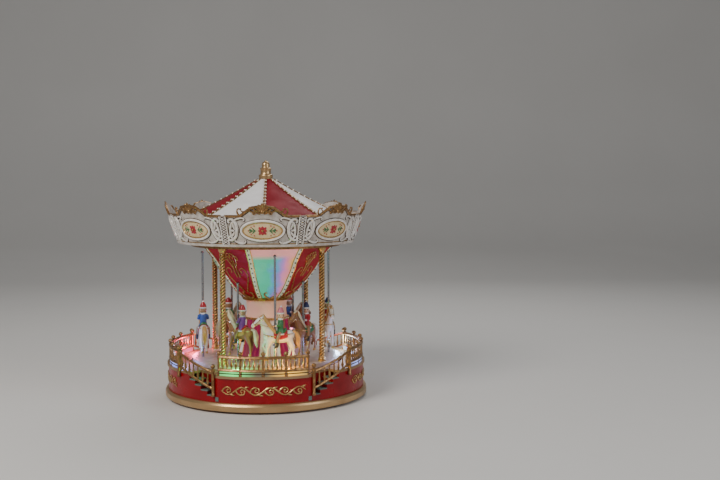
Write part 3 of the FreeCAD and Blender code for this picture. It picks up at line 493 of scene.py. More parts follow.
def painted(name, colour, shade, scale, amount, smooth, rough, metallic=0.0, coat=0.0, bump=0.08,
            glow=(1.0, 1.0, 1.0), strength=0.0, shine=0.5):
    """Finish of rubbed paint, metal leaf or plastic, with a painted glow of light where strength is given.
    """
    made = bpy.data.materials.get(name)
    if made:
        return made
    made, _ = new_finish(name, {"paint": "ShaderNodeGroup", "relief": "ShaderNodeBump"}, {
        "paint.node_tree": worn_paint_group(), "paint.Color": rgba(colour), "paint.Shade": rgba(shade),
        "paint.Scale": scale, "paint.Amount": amount, "paint.Smooth": smooth, "paint.Rough": rough,
        "relief.Strength": bump, "relief.Distance": GRAIN_DEPTH * MM, "shader.Metallic": metallic,
        "shader.Coat Weight": coat, "shader.Specular IOR Level": shine, "shader.Emission Color": rgba(glow),
        "shader.Emission Strength": strength,
    }, ("paint.Color > shader.Base Color", "paint.Roughness > shader.Roughness",
        "paint.Height > relief.Height", "relief.Normal > shader.Normal"))
    return made


# Colour, shade in the patches, patch scale, amount of shade, roughness from smooth to rough, and what else
# differs from plain paint; a word in place of a colour is one of the user's colours
FINISHES = {
    "drum_lacquer": ("red", (0.18, 0.0005, 0.003), 60, 0.6, 0.26, 0.4,
                     {"coat": 0.1, "bump": 0.03, "shine": 0.25}),
    "rail_gold": ("gold", (0.13, 0.06, 0.025), 260, 0.75, 0.28, 0.48, {"metallic": 0.8, "bump": 0.12}),
    "leaf_gold": ((0.64, 0.41, 0.16), (0.26, 0.12, 0.04), 220, 0.6, 0.22, 0.42,
                  {"metallic": 0.85, "bump": 0.1}),
    "stud_pearl": ((0.85, 0.78, 0.66), (0.7, 0.58, 0.4), 300, 0.5, 0.2, 0.35,
                   {"metallic": 0.1, "bump": 0.03}),
    # Near-black bronze: painted shade in grooves, recesses and under relief, a painted reflection of the low
    # rail, and dark antique wash
    "groove_bronze": ((0.07, 0.032, 0.014), (0.03, 0.014, 0.008), 240, 0.7, 0.45, 0.65,
                      {"metallic": 0.3, "bump": 0.1}),
    "ring_gold": ((0.58, 0.38, 0.19), (0.36, 0.21, 0.09), 40, 0.5, 0.28, 0.4,
                  {"metallic": 0.85, "bump": 0.05}),
    "deck_gold": ((0.4, 0.25, 0.13), (0.24, 0.14, 0.07), 90, 0.5, 0.5, 0.65,
                  {"metallic": 0.5, "bump": 0.06}),
    "antique_relief": ((0.84, 0.81, 0.77), (0.5, 0.4, 0.3), 240, 0.55, 0.26, 0.42,
                       {"metallic": 0.2, "bump": 0.12}),
    "ivory_ground": ("ivory", (0.27, 0.2, 0.14), 150, 0.6, 0.38, 0.55, {"bump": 0.1}),
    "ivory_edge": ((0.85, 0.82, 0.78), (0.62, 0.52, 0.42), 180, 0.6, 0.34, 0.5, {"bump": 0.08}),
    "tent_red": ((0.26, 0.001, 0.01), (0.18, 0.0005, 0.007), 45, 0.7, 0.5, 0.65,
                 {"bump": 0.06, "shine": 0.2}),
    "tent_white": ((0.85, 0.83, 0.82), (0.7, 0.67, 0.66), 45, 0.6, 0.5, 0.65, {"bump": 0.06}),
    "cream_field": ((0.76, 0.6, 0.34), (0.6, 0.42, 0.2), 130, 0.6, 0.35, 0.5),
    "berry_red": ((0.45, 0.02, 0.03), (0.25, 0.01, 0.02), 200, 0.5, 0.28, 0.4, {"coat": 0.2}),
    "leaf_green": ((0.05, 0.17, 0.06), (0.02, 0.08, 0.03), 200, 0.6, 0.35, 0.5),
    "step_green": ((0.085, 0.1, 0.1), (0.045, 0.05, 0.05), 150, 0.7, 0.5, 0.7, {"bump": 0.15}),
    "floor_boards": ((0.5, 0.38, 0.3), (0.34, 0.22, 0.16), 90, 0.6, 0.36, 0.5, {"coat": 0.1}),
    "pole_steel": ((0.3, 0.31, 0.33), (0.16, 0.16, 0.17), 300, 0.5, 0.22, 0.36,
                   {"metallic": 1.0, "bump": 0.04}),
    "black_moulding": ((0.025, 0.025, 0.027), (0.012, 0.012, 0.013), 300, 0.5, 0.45, 0.6, {"bump": 0.12}),
    "natural_moulding": ((0.72, 0.71, 0.68), (0.58, 0.57, 0.54), 150, 0.5, 0.4, 0.55),
    "soft_rubber": ((0.03, 0.03, 0.03), (0.05, 0.05, 0.05), 400, 0.5, 0.7, 0.85, {"bump": 0.2}),
    "board_green": ((0.02, 0.16, 0.05), (0.01, 0.1, 0.03), 250, 0.5, 0.3, 0.45),
    # Neck: peach paint with a painted orange glow of lamp light
    "peach_neck": ((0.85, 0.55, 0.42), (0.75, 0.4, 0.36), 50, 0.6, 0.42, 0.55,
                   {"glow": (1.0, 0.42, 0.22), "strength": 0.22}),
    "bulb_dark": ((0.05, 0.05, 0.06), (0.12, 0.1, 0.06), 300, 0.5, 0.2, 0.3, {"coat": 0.5}),
    # Strips between the centre's panels, with a painted yellow-green glow of lamp light
    "strip_white": ((0.82, 0.82, 0.72), (0.65, 0.66, 0.5), 70, 0.6, 0.4, 0.52,
                    {"glow": (0.85, 0.95, 0.6), "strength": 0.12}),
    "pale_sheet": ((0.72, 0.7, 0.67), (0.68, 0.66, 0.63), 3, 0.5, 0.6, 0.75, {"bump": 0.0}),
    # Red drapes with a painted magenta glow of lamp light
    "drape_red": ((0.42, 0.012, 0.05), (0.22, 0.005, 0.04), 80, 0.7, 0.45, 0.62,
                  {"bump": 0.2, "glow": (0.8, 0.02, 0.35), "strength": 0.1}),
    # White drapes with a painted warm glow of lamp light
    "drape_white": ((0.8, 0.74, 0.72), (0.66, 0.5, 0.48), 80, 0.7, 0.45, 0.62,
                    {"bump": 0.2, "glow": (1.0, 0.7, 0.6), "strength": 0.06}),
    # Red panels of the centre with a faint painted red glow of lamp light
    "panel_red": ((0.34, 0.002, 0.01), (0.22, 0.001, 0.012), 60, 0.6, 0.34, 0.5,
                  {"glow": (0.7, 0.005, 0.03), "strength": 0.06, "shine": 0.25}),
}


def look(name):
    """Finish by its name in the table."""
    colour, shade, scale, amount, smooth, rough, *more = FINISHES[name]
    colour = getattr(colours(), colour) if isinstance(colour, str) else colour
    return painted(name, colour, shade, scale, amount, smooth, rough, **(more[0] if more else {}))


# Colour and heights of a crown that lies above the whole object
NO_CROWN = ((0.0, 0.0, 0.0), 1000.0, 2000.0)


def angle_ramp(name, base, rough, strength, stops, noise=0.0, crown=NO_CROWN):
    """Finish whose glow changes round the axis; stops are (azimuth, colour) from -180 to 180.

    Without a base colour the glow is the paint as well. The crown's colour takes over between its heights.
    """
    made = bpy.data.materials.get(name)
    if made:
        return made
    crown_colour, low, high = crown
    settings = {
        "back.operation": "MULTIPLY", "back.1": -1.0, "angle.operation": "ARCTAN2",
        "share.From Min": -math.pi, "share.From Max": math.pi, "wave.operation": "MULTIPLY_ADD",
        "wave.1": noise, "wave.2": -noise / 2, "drift.operation": "ADD", "patches.Scale": 28.0,
        "patches.Detail": 3.0, "rise.From Min": low * MM, "rise.From Max": high * MM,
        "blend.data_type": "RGBA", "blend.7": rgba(crown_colour), "shader.Roughness": rough,
        "shader.Emission Strength": strength}
    wires = [
        "place.Object > split.0", "place.Object > patches.Vector", "split.Y > back.0", "split.X > angle.0",
        "back.0 > angle.1", "angle.0 > share.Value", "patches.Fac > wave.0", "share.0 > drift.0",
        "wave.0 > drift.1", "drift.0 > ramp.Fac", "split.Z > rise.Value", "rise.0 > blend.Factor",
        "ramp.Color > blend.6", "blend.2 > shader.Emission Color"]
    if base is None:
        wires.append("blend.2 > shader.Base Color")
    else:
        settings["shader.Base Color"] = rgba(base)
    made, nodes = new_finish(name, {
        "place": "ShaderNodeTexCoord", "split": "ShaderNodeSeparateXYZ", "back": "ShaderNodeMath",
        "angle": "ShaderNodeMath", "share": "ShaderNodeMapRange", "ramp": "ShaderNodeValToRGB",
        "patches": "ShaderNodeTexNoise", "wave": "ShaderNodeMath", "drift": "ShaderNodeMath",
        "rise": "ShaderNodeMapRange", "blend": "ShaderNodeMix"}, settings, wires)
    stops = sorted(stops)
    elements = nodes["ramp"].color_ramp.elements
    while len(elements) < len(stops):
        elements.new(0.5)
    for element, (azimuth, colour) in zip(elements, stops):
        element.position = (azimuth + 180.0) / 360.0
        element.color = rgba(colour)
    return made


# Azimuth and colour of each lamp
LAMP_LIGHTS = (
    (-17.0, (0.12, 1.0, 0.22)), (15.0, (1.0, 0.52, 0.06)), (-66.0, (0.25, 0.35, 1.0)),
    (68.0, (0.35, 0.45, 1.0)), (-118.0, (1.0, 0.12, 0.3)), (122.0, (0.55, 0.75, 1.0)),
    (165.0, (0.9, 0.3, 1.0)), (-165.0, (1.0, 0.6, 0.1)),
)
# Reach of a lamp's colour along the strip in degrees, then the lights' circle, height and softness
LAMP_REACH = 13.0
LAMP_CIRCLE = 108.0
LAMP_LIFT = 13.0
LAMP_SOFTNESS = 4.0
STRIP_DARK = (0.09, 0.085, 0.05)

# Colours across a quarter of the centre, by the degrees from the front, a side or the back: pastel print
# with painted coloured lamp light
PICTURE_PRINT_AND_LIGHT = (
    (-10.0, (0.06, 0.62, 0.42)), (6.0, (0.06, 0.62, 0.42)), (13.0, (0.14, 0.4, 0.82)),
    (21.0, (0.5, 0.26, 0.75)), (27.0, (0.9, 0.3, 0.45)), (34.0, (0.95, 0.5, 0.16)),
)
# Colour and heights of the pink band at the top of the light panels: print with painted lamp light
PICTURE_CROWN = ((0.95, 0.4, 0.42), 172.0, 178.0)


def strip_glow():
    """Clear strip under the fence, lit in patches of colour by the lamps behind it."""
    stops = []
    for azimuth, colour in LAMP_LIGHTS:
        stops += [(azimuth - LAMP_REACH, STRIP_DARK), (azimuth, colour), (azimuth + LAMP_REACH, STRIP_DARK)]
    return angle_ramp("strip_glow", (0.05, 0.04, 0.035), 0.15, 1.7, stops)


def picture_paint():
    """Pastel print on the light panels of the centre, tinted and lit softly from behind with painted lamp
    colours.
    """
    stops = [(centre + aside, colour) for centre in spread(-180.0, 180.0, 4)
             for aside, colour in PICTURE_PRINT_AND_LIGHT]
    stops = [stop for stop in stops if abs(stop[0]) <= 180.0]
    return angle_ramp("picture_paint", None, 0.5, 0.35, stops, 0.12, PICTURE_CROWN)


def node_finish(finish, *names):
    """Gives carried-over nodes a finish."""
    for name in names:
        mesh = NODES[name].data
        mesh.materials.clear()
        mesh.materials.append(finish)


# Base, fence and stairs

RAIL_HALF = 2.0
RAIL_TALL = 3.0
RAIL_LOW = DECK_TOP + 5.0
RAIL_LOW_TOP = RAIL_LOW + RAIL_TALL
RAIL_HIGH = RAIL_LOW_TOP + 12.0
RAIL_TOP = RAIL_HIGH + RAIL_TALL
# First and last azimuth and number of bays of each stretch of the fence
FENCE_SPANS = ((-25.5, 25.5, 4), (57.0, 123.0, 5), (154.5, 205.5, 4), (237.0, 303.0, 5))
BAY_BALUSTERS = 4
BAY_STEPS = 4
POST_WIDTH = 1.7
NEWEL_WIDTH = 1.75
# Radius and height of the corners of the dark bar let into the light strip: a painted reflection of the low
# rail
RAIL_REFLECTION_BAR = ((119.6, 45.2), (120.3, 45.2), (120.3, 46.4), (119.6, 46.4))
VINE_HEIGHT = 26.5
VINE_WAVE = 33.0
VINE_SWING = 4.2
# Azimuth and number of half waves of each panel of the vine
VINE_PANELS = ((0.0, 6), (90.0, 8), (270.0, 8))
VINE_LIFT = 0.4
STEM_STEPS = 12
COIL_STEPS = 6
COIL_SHIFT = 0.5
COIL_DROP = 0.8
LEAF_SWELL = (0.6, 0.9, 1.15, 1.1, 0.8, 0.45, 0.15)
# Angle and reach along a coil, from the stem inward
VINE_COIL = ((165, 7.5), (215, 4.6), (270, 3.3), (360, 2.9), (450, 2.4), (540, 1.6), (620, 0.9))


def on_drum(azimuth, u, v):
    """Point just off the drum, from a panel's azimuth, a distance along it and a height."""
    return polar(DRUM_RADIUS + VINE_LIFT, azimuth + math.degrees(u / DRUM_RADIUS), v)


def outward(p):
    return Vector((p.x, p.y, 0.0)).normalized()


def vine_coil(crown, sign):
    """Branch that leaves the stem before a crown and coils in the hollow beside it."""
    line = []
    for (first, outer), (last, inner) in zip(VINE_COIL, VINE_COIL[1:]):
        for k in range(COIL_STEPS):
            angle = math.radians(first + (last - first) * k / COIL_STEPS)
            reach = outer + (inner - outer) * k / COIL_STEPS
            line.append((crown + COIL_SHIFT + reach * math.cos(angle),
                         VINE_HEIGHT + sign * (reach * math.sin(angle) - COIL_DROP)))
    return line


def vine_panel(form, azimuth, half_waves):
    """Wavy stem with a coil in each bend, a bud in each coil and a small leaf on each crown."""
    thick = sizes().scroll_radius / MM
    reach = half_waves * VINE_WAVE / 4
    steps = half_waves * STEM_STEPS
    turn = 2 * math.pi / VINE_WAVE
    stem = [(u, VINE_HEIGHT + VINE_SWING * math.sin(turn * u)) for u in spread(-reach, reach, steps)]
    swell = [thick * (0.45 + 0.55 * math.sin(a) ** 0.5) for a in spread(0.0, math.pi, steps)]
    lines = [(stem, swell)]
    for k in range(half_waves):
        crown = -reach + (k + 0.5) * VINE_WAVE / 2
        sign = 1 if math.sin(turn * crown) > 0 else -1
        coil = vine_coil(crown, sign)
        lines.append((coil, tapered(coil, thick, thick * 0.6)))
        form.add(bead(on_drum(azimuth, *coil[-1]), thick * 1.1), look("leaf_gold"))
        start = (crown + 3.0, VINE_HEIGHT + sign * VINE_SWING * 0.85)
        leaf = scroll_line(start, sign * 20, 5.5, 0.0, -sign * 0.15, 6)
        lines.append((leaf, [thick * t for t in LEAF_SWELL]))
    for line, radii in lines:
        points = [on_drum(azimuth, u, v) for u, v in line]
        form.add(sweep(points, radii, 8, 0.8, outward), look("leaf_gold"))


def gold_vine():
    form = Form()
    for azimuth, half_waves in VINE_PANELS:
        vine_panel(form, azimuth, half_waves)
    return form


class CAROUSEL_OT_base(bpy.types.Operator):
    """Paint the drum with its ring, deck, turntable, plate and feet, and lay the gold vine on it"""

    bl_idname = "carousel.base"
    bl_label = "Base"

    def execute(self, context):
        node_finish(look("drum_lacquer"), "base_drum")
        node_finish(look("ring_gold"), "base_trim_ring")
        node_finish(look("deck_gold"), "base_deck")
        node_finish(look("floor_boards"), "turntable")
        node_finish(look("black_moulding"), "base_plate", "dc_jack", "slide_switch", "switch_slider")
        node_finish(look("soft_rubber"), "rubber_feet")
        node_finish(look("pole_steel"), "plate_screws")
        new_piece("gold_vine", gold_vine(), "base", ["scroll_ornaments"])
        return {"FINISHED"}


# Shares of a baluster's height and of its widest radius
BALUSTER_SHAPE = (
    (0.0, 0.75), (0.05, 0.75), (0.08, 0.5), (0.16, 0.62), (0.3, 1.0), (0.42, 0.85), (0.58, 0.5), (0.7, 0.42),
    (0.76, 0.62), (0.8, 0.42), (0.94, 0.5), (0.96, 0.75), (1.0, 0.75),
)


def baluster_profile(low, high):
    """Turned vase between two rails."""
    wide = sizes().baluster_radius / MM
    return [(wide * reach, low + (high - low) * up) for up, reach in BALUSTER_SHAPE]


def ball_post_profile(low, top, width):
    """Post with a plinth, a cap and a ball on a short neck."""
    big = sizes().ball_radius / MM
    return [(width * 1.25, low), (width * 1.25, low + 2.0), (width, low + 2.6), (width, top - 4.0),
            (width * 1.3, top - 3.0), (width * 1.3, top - 0.4), (width * 0.55, top),
            (width * 0.5, top + 0.3), *ball_top(big, top + 2 * big)]


def rail_outline(low):
    """Moulded section of a curved rail, as (radius, height) pairs."""
    inner, outer = FENCE_RADIUS - RAIL_HALF, FENCE_RADIUS + RAIL_HALF
    bulge, waist, top = low + RAIL_TALL * 0.35, low + RAIL_TALL * 0.6, low + RAIL_TALL
    return [(inner, low), (outer, low), (outer + 0.3, bulge), (outer - 0.2, waist), (outer - 0.6, top),
            (inner + 0.6, top), (inner + 0.2, waist), (inner - 0.3, bulge)]


def fence_form():
    """All four stretches of the fence: rails, posts with balls and turned balusters."""
    finish = look("rail_gold")
    form = Form()
    place = (0.0, -FENCE_RADIUS)
    spindle = Form().add(lathe(baluster_profile(RAIL_LOW_TOP, RAIL_HIGH), 8, place), finish)
    post = Form().add(lathe(ball_post_profile(DECK_TOP, RAIL_TOP, POST_WIDTH), 12, place), finish)
    for start, end, bays in FENCE_SPANS:
        bay = (end - start) / bays
        step = bay / (BAY_BALUSTERS + 1)
        form.add(arc_bar(rail_outline(RAIL_LOW), start, end, bays * BAY_STEPS), finish)
        # Dark bar in the strip: a painted reflection of the low rail
        form.add(arc_bar(RAIL_REFLECTION_BAR, start, end, bays * BAY_STEPS), look("groove_bronze"))
        form.add(arc_bar(rail_outline(RAIL_HIGH), start, end, bays * BAY_STEPS), finish)
        form.add_turned([post], start, bays + 1, bay)
        for k in range(bays):
            form.add_turned([spindle], start + k * bay + step, BAY_BALUSTERS, step)
    return form


class CAROUSEL_OT_fence(bpy.types.Operator):
    """Build the gold fence round the deck"""

    bl_idname = "carousel.fence"
    bl_label = "Fence"

    def execute(self, context):
        new_piece("gold_fence", fence_form(), "base",
                  ["fence_front", "fence_right", "fence_back", "fence_left"])
        return {"FINISHED"}


STAIR_HEAD = 46.0
STAIR_STEPS = 4
STAIR_RISE = 5.0
STAIR_INNER = 104.0
TREAD = 1.2
RAILING_LOW = 26.0
RAILING_HIGH = 45.0
RAILING_MIDDLE = DRUM_RADIUS + 1.6
RAILING_BALUSTERS = 7
# Stand-off and height of the corners of a sloping rail
RAILING_OUTLINE = ((-0.6, 0.0), (1.0, 0.0), (1.4, 0.8), (1.2, 1.9), (0.7, 2.6), (-0.6, 2.6))
NEWEL_BOTTOM = 19.0
NEWEL_TOP = 51.0
HEAD_POST_BOTTOM = DECK_TOP - 8.0
# Stand-off of posts and balusters from the railing's middle, and how deep balusters sit in the rails
POST_OUT = 0.6
BALUSTER_OUT = 0.4
BALUSTER_FOOT = 1.5
BALUSTER_HEAD = 1.0
# Thickness of the wall behind the steps, and what it and the treads' nosings reach beyond them
BACK_WALL = 2.0
WALL_LAP_ANGLE = 1.0
NOSING = 0.4
NOSING_ANGLE = 0.4
# Radii, heights and azimuths of the block at the foot of a flight
FOOT_BLOCK = (DRUM_RADIUS - 1.0, DRUM_RADIUS + 0.8, 13.2, 18.0, STAIR_FOOT - 2.8, STAIR_FOOT - 1.0)


def railing(form, side, turn):
    """Sloping rails beside one flight, with a newel at its foot and a post at its head."""
    finish = look("rail_gold")

    def place(share, z, out):
        azimuth = STAIR_FOOT + (RAILING_HEAD - STAIR_FOOT) * share
        return polar(RAILING_MIDDLE + out, turn + side * azimuth, z)

    def rise(foot, head, share):
        return foot + (head - foot) * share

    for foot, head in ((RAILING_LOW, RAIL_LOW), (RAILING_HIGH, RAIL_HIGH)):
        form.add(loft([[place(share, rise(foot, head, share) + up, out) for out, up in RAILING_OUTLINE]
                       for share in spread(0.0, 1.0, 8)]), finish)
    for share, low, top in ((0.0, NEWEL_BOTTOM, NEWEL_TOP), (1.0, HEAD_POST_BOTTOM, RAIL_TOP)):
        form.add(lathe(ball_post_profile(low, top, NEWEL_WIDTH), 12, place(share, 0.0, POST_OUT).xy), finish)
    for share in spread(0.0, 1.0, RAILING_BALUSTERS + 1)[1:-1]:
        low = rise(RAILING_LOW, RAIL_LOW, share) + BALUSTER_FOOT
        high = rise(RAILING_HIGH, RAIL_HIGH, share) + BALUSTER_HEAD
        form.add(lathe(baluster_profile(low, high), 8, place(share, 0.0, BALUSTER_OUT).xy), finish)


def flight(form, side, turn):
    """Red step blocks with a green tread on each, in front of a red back wall."""
    red, green = look("drum_lacquer"), look("step_green")
    step = (STAIR_HEAD - STAIR_FOOT) / STAIR_STEPS
    trim_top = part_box("base_trim_ring")[1].z / MM
    drum_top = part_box("base_drum")[1].z / MM

    def block(inner, outer, low, high, start, end, finish):
        span = sorted((turn + side * start, turn + side * end))
        form.add(arc_bar([(inner, low), (outer, low), (outer, high), (inner, high)], *span, 6), finish)

    block(STAIR_INNER - BACK_WALL, STAIR_INNER, trim_top, drum_top, STAIR_FOOT - WALL_LAP_ANGLE,
          STAIR_HEAD + WALL_LAP_ANGLE, red)
    for k in range(STAIR_STEPS):
        high = drum_top - STAIR_RISE * (STAIR_STEPS - k)
        start = STAIR_FOOT + k * step
        block(STAIR_INNER, DRUM_RADIUS, trim_top, high - TREAD, start, start + step, red)
        block(STAIR_INNER, DRUM_RADIUS + NOSING, high - TREAD, high, start - NOSING_ANGLE, start + step,
              green)
    block(*FOOT_BLOCK, green)


class CAROUSEL_OT_stairs(bpy.types.Operator):
    """Build the four flights of steps with their sloping railings"""

    bl_idname = "carousel.stairs"
    bl_label = "Stairs"

    def execute(self, context):
        rails, steps = Form(), Form()
        for turn in (0.0, 180.0):
            for side in (1, -1):
                railing(rails, side, turn)
                flight(steps, side, turn)
        new_piece("stair_rails", rails, "base", ["stair_railings"])
        new_piece("green_treads", steps, "base", ["stair_flights"])
        return {"FINISHED"}


class CAROUSEL_OT_lamps(bpy.types.Operator):
    """Light the strip under the fence and the lamps behind it"""

    bl_idname = "carousel.lamps"
    bl_label = "Lamps"

    def execute(self, context):
        node_finish(strip_glow(), "led_diffuser")
        node_finish(angle_ramp("lamp_glow", (0.8, 0.8, 0.8), 0.2, 2.0, LAMP_LIGHTS), "led_lamps")
        for k, (azimuth, colour) in enumerate(LAMP_LIGHTS):
            light = bpy.data.lights.new("lamp_light_%d" % (k + 1), "POINT")
            light.color = colour
            light.energy = sizes().lamp_power
            light.shadow_soft_size = LAMP_SOFTNESS * MM
            linked(light.name, light).location = polar(LAMP_CIRCLE, azimuth, DECK_TOP + LAMP_LIFT) * MM
        return {"FINISHED"}


# Turning unit

COLUMN_PLACE = (0.0, -COLUMN_CIRCLE)
# Radius and height of the foot above the platform, and of the capital above the rope
COLUMN_FOOT = ((5.0, 0.0), (5.0, 1.6), (4.2, 2.2), (4.6, 3.2), (4.2, 4.2), (3.4, 4.8), (3.9, 5.6),
               (3.3, 6.4))
COLUMN_HEAD = ((3.2, -0.4), (4.0, 0.4), (3.4, 1.2), (3.6, 2.6), (4.6, 4.0), (5.0, 4.6), (5.0, 7.0))
ROPE_LOW = TABLE_TOP + 6.0
ROPE_HIGH = CORE_TOP - 7.0
ROPE_STRANDS = 4
STRAND_CIRCLE = 0.72
STRAND_STEPS = 14


def column_core():
    """Dark core of one column at the front: painted shade in the grooves between the strands."""
    reach = sizes().rope_radius / MM * STRAND_CIRCLE
    core = lathe([(reach, ROPE_LOW), (reach, ROPE_HIGH)], 16, COLUMN_PLACE)
    return Form().add(core, look("groove_bronze"))


def column_gold():
    """Foot, four twisted strands and capital of one column at the front."""
    reach = sizes().rope_radius / MM
    lead = sizes().rope_lead / MM
    circle = reach * STRAND_CIRCLE
    form = Form()
    for strand in range(ROPE_STRANDS):
        points = []
        for z in spread(ROPE_LOW, ROPE_HIGH, int((ROPE_HIGH - ROPE_LOW) / lead * STRAND_STEPS)):
            angle = 2 * math.pi * (z / lead + strand / ROPE_STRANDS)
            points.append((circle * math.cos(angle), circle * math.sin(angle) - COLUMN_CIRCLE, z))
        form.add(sweep(points, reach - circle, 8), look("leaf_gold"))
    for low, profile in ((TABLE_TOP, COLUMN_FOOT), (ROPE_HIGH, COLUMN_HEAD)):
        form.add(lathe([(radius, low + up) for radius, up in profile], 20, COLUMN_PLACE), look("leaf_gold"))
    return form


class CAROUSEL_OT_columns(bpy.types.Operator):
    """Build the four rope columns and finish the ring on top of them"""

    bl_idname = "carousel.columns"
    bl_label = "Columns"

    def execute(self, context):
        form = Form().add_turned((column_core(), column_gold()), ROTOR_PHASE + PITCH, COLUMNS, 2 * PITCH)
        new_piece("twisted_columns", form, "rotor", ["rope_columns"], SOFT_CREASE)
        node_finish(look("rail_gold"), "ceiling_ring")
        return {"FINISHED"}


def flare_apothem(z):
    """Distance of the trumpet's flat sides from the axis at a height."""
    up = (z - BAND_TOP) / (CORE_TOP - BAND_TOP)
    for (low, inner), (high, outer) in zip(FLARE_SHAPE, FLARE_SHAPE[1:]):
        if up <= high:
            out = inner + (outer - inner) * (up - low) / (high - low)
            return BAND_APOTHEM + (FLARE_APOTHEM - BAND_APOTHEM) * out
    return FLARE_APOTHEM


# Foot, length, heading, bend and curl of the scrolls on half a red panel
PANEL_SCROLLS = ((131.0, 44.0, 62.0, -0.012, 0.42), (150.0, 36.0, 80.0, 0.03, -0.5),
                 (162.0, 26.0, 60.0, 0.02, 0.6))
SCROLL_START = 2.0
PANEL_LIFT = 0.3
PANEL_INSET = 3.0
FLARE_STEPS = 14
BULB_RADIUS = 1.0
HALF_PANEL = math.pi / PANELS


def panel_scrolls():
    """Gold scrolls on one red panel of the trumpet, made for a panel that faces front."""
    form = Form()
    for side in SIDES:
        for low, length, heading, bend, curl in PANEL_SCROLLS:
            line = scroll_line((SCROLL_START, low), heading, length, bend, curl, 24)
            points = [(side * u, -flare_apothem(v) - PANEL_LIFT, v) for u, v in line if v < CORE_TOP - 3]
            form.add(sweep(points, tapered(points, 1.0, 0.55)), look("leaf_gold"))
            form.add(bead(points[-1], 1.2), look("leaf_gold"))
    return form


def panel_border():
    """Gold line along the two long edges of one panel of the trumpet."""
    form = Form()
    for side in SIDES:
        points = []
        for z in spread(BAND_TOP + 0.5, CORE_TOP - 0.5, FLARE_STEPS):
            reach = flare_apothem(z)
            points.append((side * (reach * math.tan(HALF_PANEL) - PANEL_INSET), -reach - 0.1, z))
        form.add(sweep(points, 0.6), look("leaf_gold"))
    return form


def rib_bulbs():
    """Bulbs along the eight strips between the panels."""
    form = Form()
    finish = look("bulb_dark")
    for k in range(PANELS):
        line = [polar(flare_apothem(z) / math.cos(HALF_PANEL) + 0.1, ROTOR_PHASE + (k + 0.5) * PITCH, z)
                for z in spread(BAND_TOP + 2.0, CORE_TOP - 2.0, FLARE_STEPS)]
        form.add_mesh(beads(line, sizes().bulbs_per_rib, BULB_RADIUS * MM, finish), finish)
    return form


SKIRT_TOP = 96.0
SKIRT_WAIST = 27.5
SKIRT_FLARE = 7.5
SKIRT_DEPTH = 3.5
SKIRT_ROWS = 12
SKIRT_COLUMNS = 24
FOLDS = 4
# Depth of the folds at the top, what they gain toward the foot, and how far they are set back
FOLD_DEPTH = 0.5
FOLD_GAIN = 1.3
FOLD_SETBACK = 0.9
CORD_RADIUS = 1.5
NECK_RADIUS = 25.0
NECK_WAIST = 107.0
# Radius and height above its foot of the gold band's lower mouldings
BAND_PROFILE = ((NECK_RADIUS, 0.0), (28.5, 0.3), (30.2, 1.5), (29.2, 2.3), (31.0, 3.3))


def skirt_radius(z):
    up = (z - TABLE_TOP) / (SKIRT_TOP - TABLE_TOP)
    return SKIRT_WAIST + SKIRT_FLARE * (1.0 - up) ** 1.6


def drape_panel(form, start, finish):
    """One panel of the drapes, with a gold line along its edges and its middle."""
    outer, rings = [], []
    for row, z in enumerate(spread(TABLE_TOP + 0.2, SKIRT_TOP, SKIRT_ROWS)):
        depth = FOLD_DEPTH + FOLD_GAIN * (1.0 - row / SKIRT_ROWS)
        front, back = [], []
        for share in spread(0.0, 1.0, SKIRT_COLUMNS):
            fold = depth * math.cos(2 * math.pi * FOLDS * share) - FOLD_SETBACK
            front.append(polar(skirt_radius(z) + fold, start + PITCH * share, z))
            back.append(polar(skirt_radius(z) - SKIRT_DEPTH, start + PITCH * share, z))
        outer.append(front)
        rings.append(front + back[::-1])
    form.add(loft(rings), finish)
    for edge in (0, SKIRT_COLUMNS // 2, SKIRT_COLUMNS):
        points = [line[edge] + outward(line[edge]) * 0.25 for line in outer]
        form.add(sweep(points, 0.5), look("leaf_gold"))


def draped_skirt():
    """Hanging drapes round the foot of the centre, gathered under a gold cord, and the neck above."""
    form = Form()
    for panel in range(PANELS):
        finish = look("drape_red" if panel % 2 else "drape_white")
        drape_panel(form, ROTOR_PHASE + (panel - 0.5) * PITCH, finish)
    ring = [polar(skirt_radius(SKIRT_TOP) - 0.4, k * 6.0, SKIRT_TOP) for k in range(60)]
    form.add(closed_sweep(ring, CORD_RADIUS, 8), look("leaf_gold"))
    form.add(lathe([(NECK_RADIUS + 1.5, SKIRT_TOP - 1.0), (NECK_RADIUS, SKIRT_TOP + 3.0),
                    (NECK_RADIUS - 0.6, NECK_WAIST), (NECK_RADIUS + 0.4, BAND_LOW - 1.5),
                    (NECK_RADIUS + 1.0, BAND_LOW)], 48), look("peach_neck"))
    return form


def waist_form():
    """Moulded gold band with a row of curls standing on it."""
    profile = [(radius, BAND_LOW + up) for radius, up in BAND_PROFILE]
    form = Form().add(lathe([*profile, (30.0, BAND_TOP - 0.4), (28.0, BAND_TOP)], 48), look("leaf_gold"))
    curl = Form()
    for side in SIDES:
        line = scroll_line((side * 1.0, BAND_TOP - 1.0), 90 - side * 62, 13.0, side * 0.03, side * 0.95, 18)
        points = [(u, -flare_apothem(max(v, BAND_TOP)) - 0.8, v) for u, v in line]
        curl.add(sweep(points, tapered(points, 1.5, 0.8)), look("leaf_gold"))
    return form.add_turned([curl], ROTOR_PHASE)


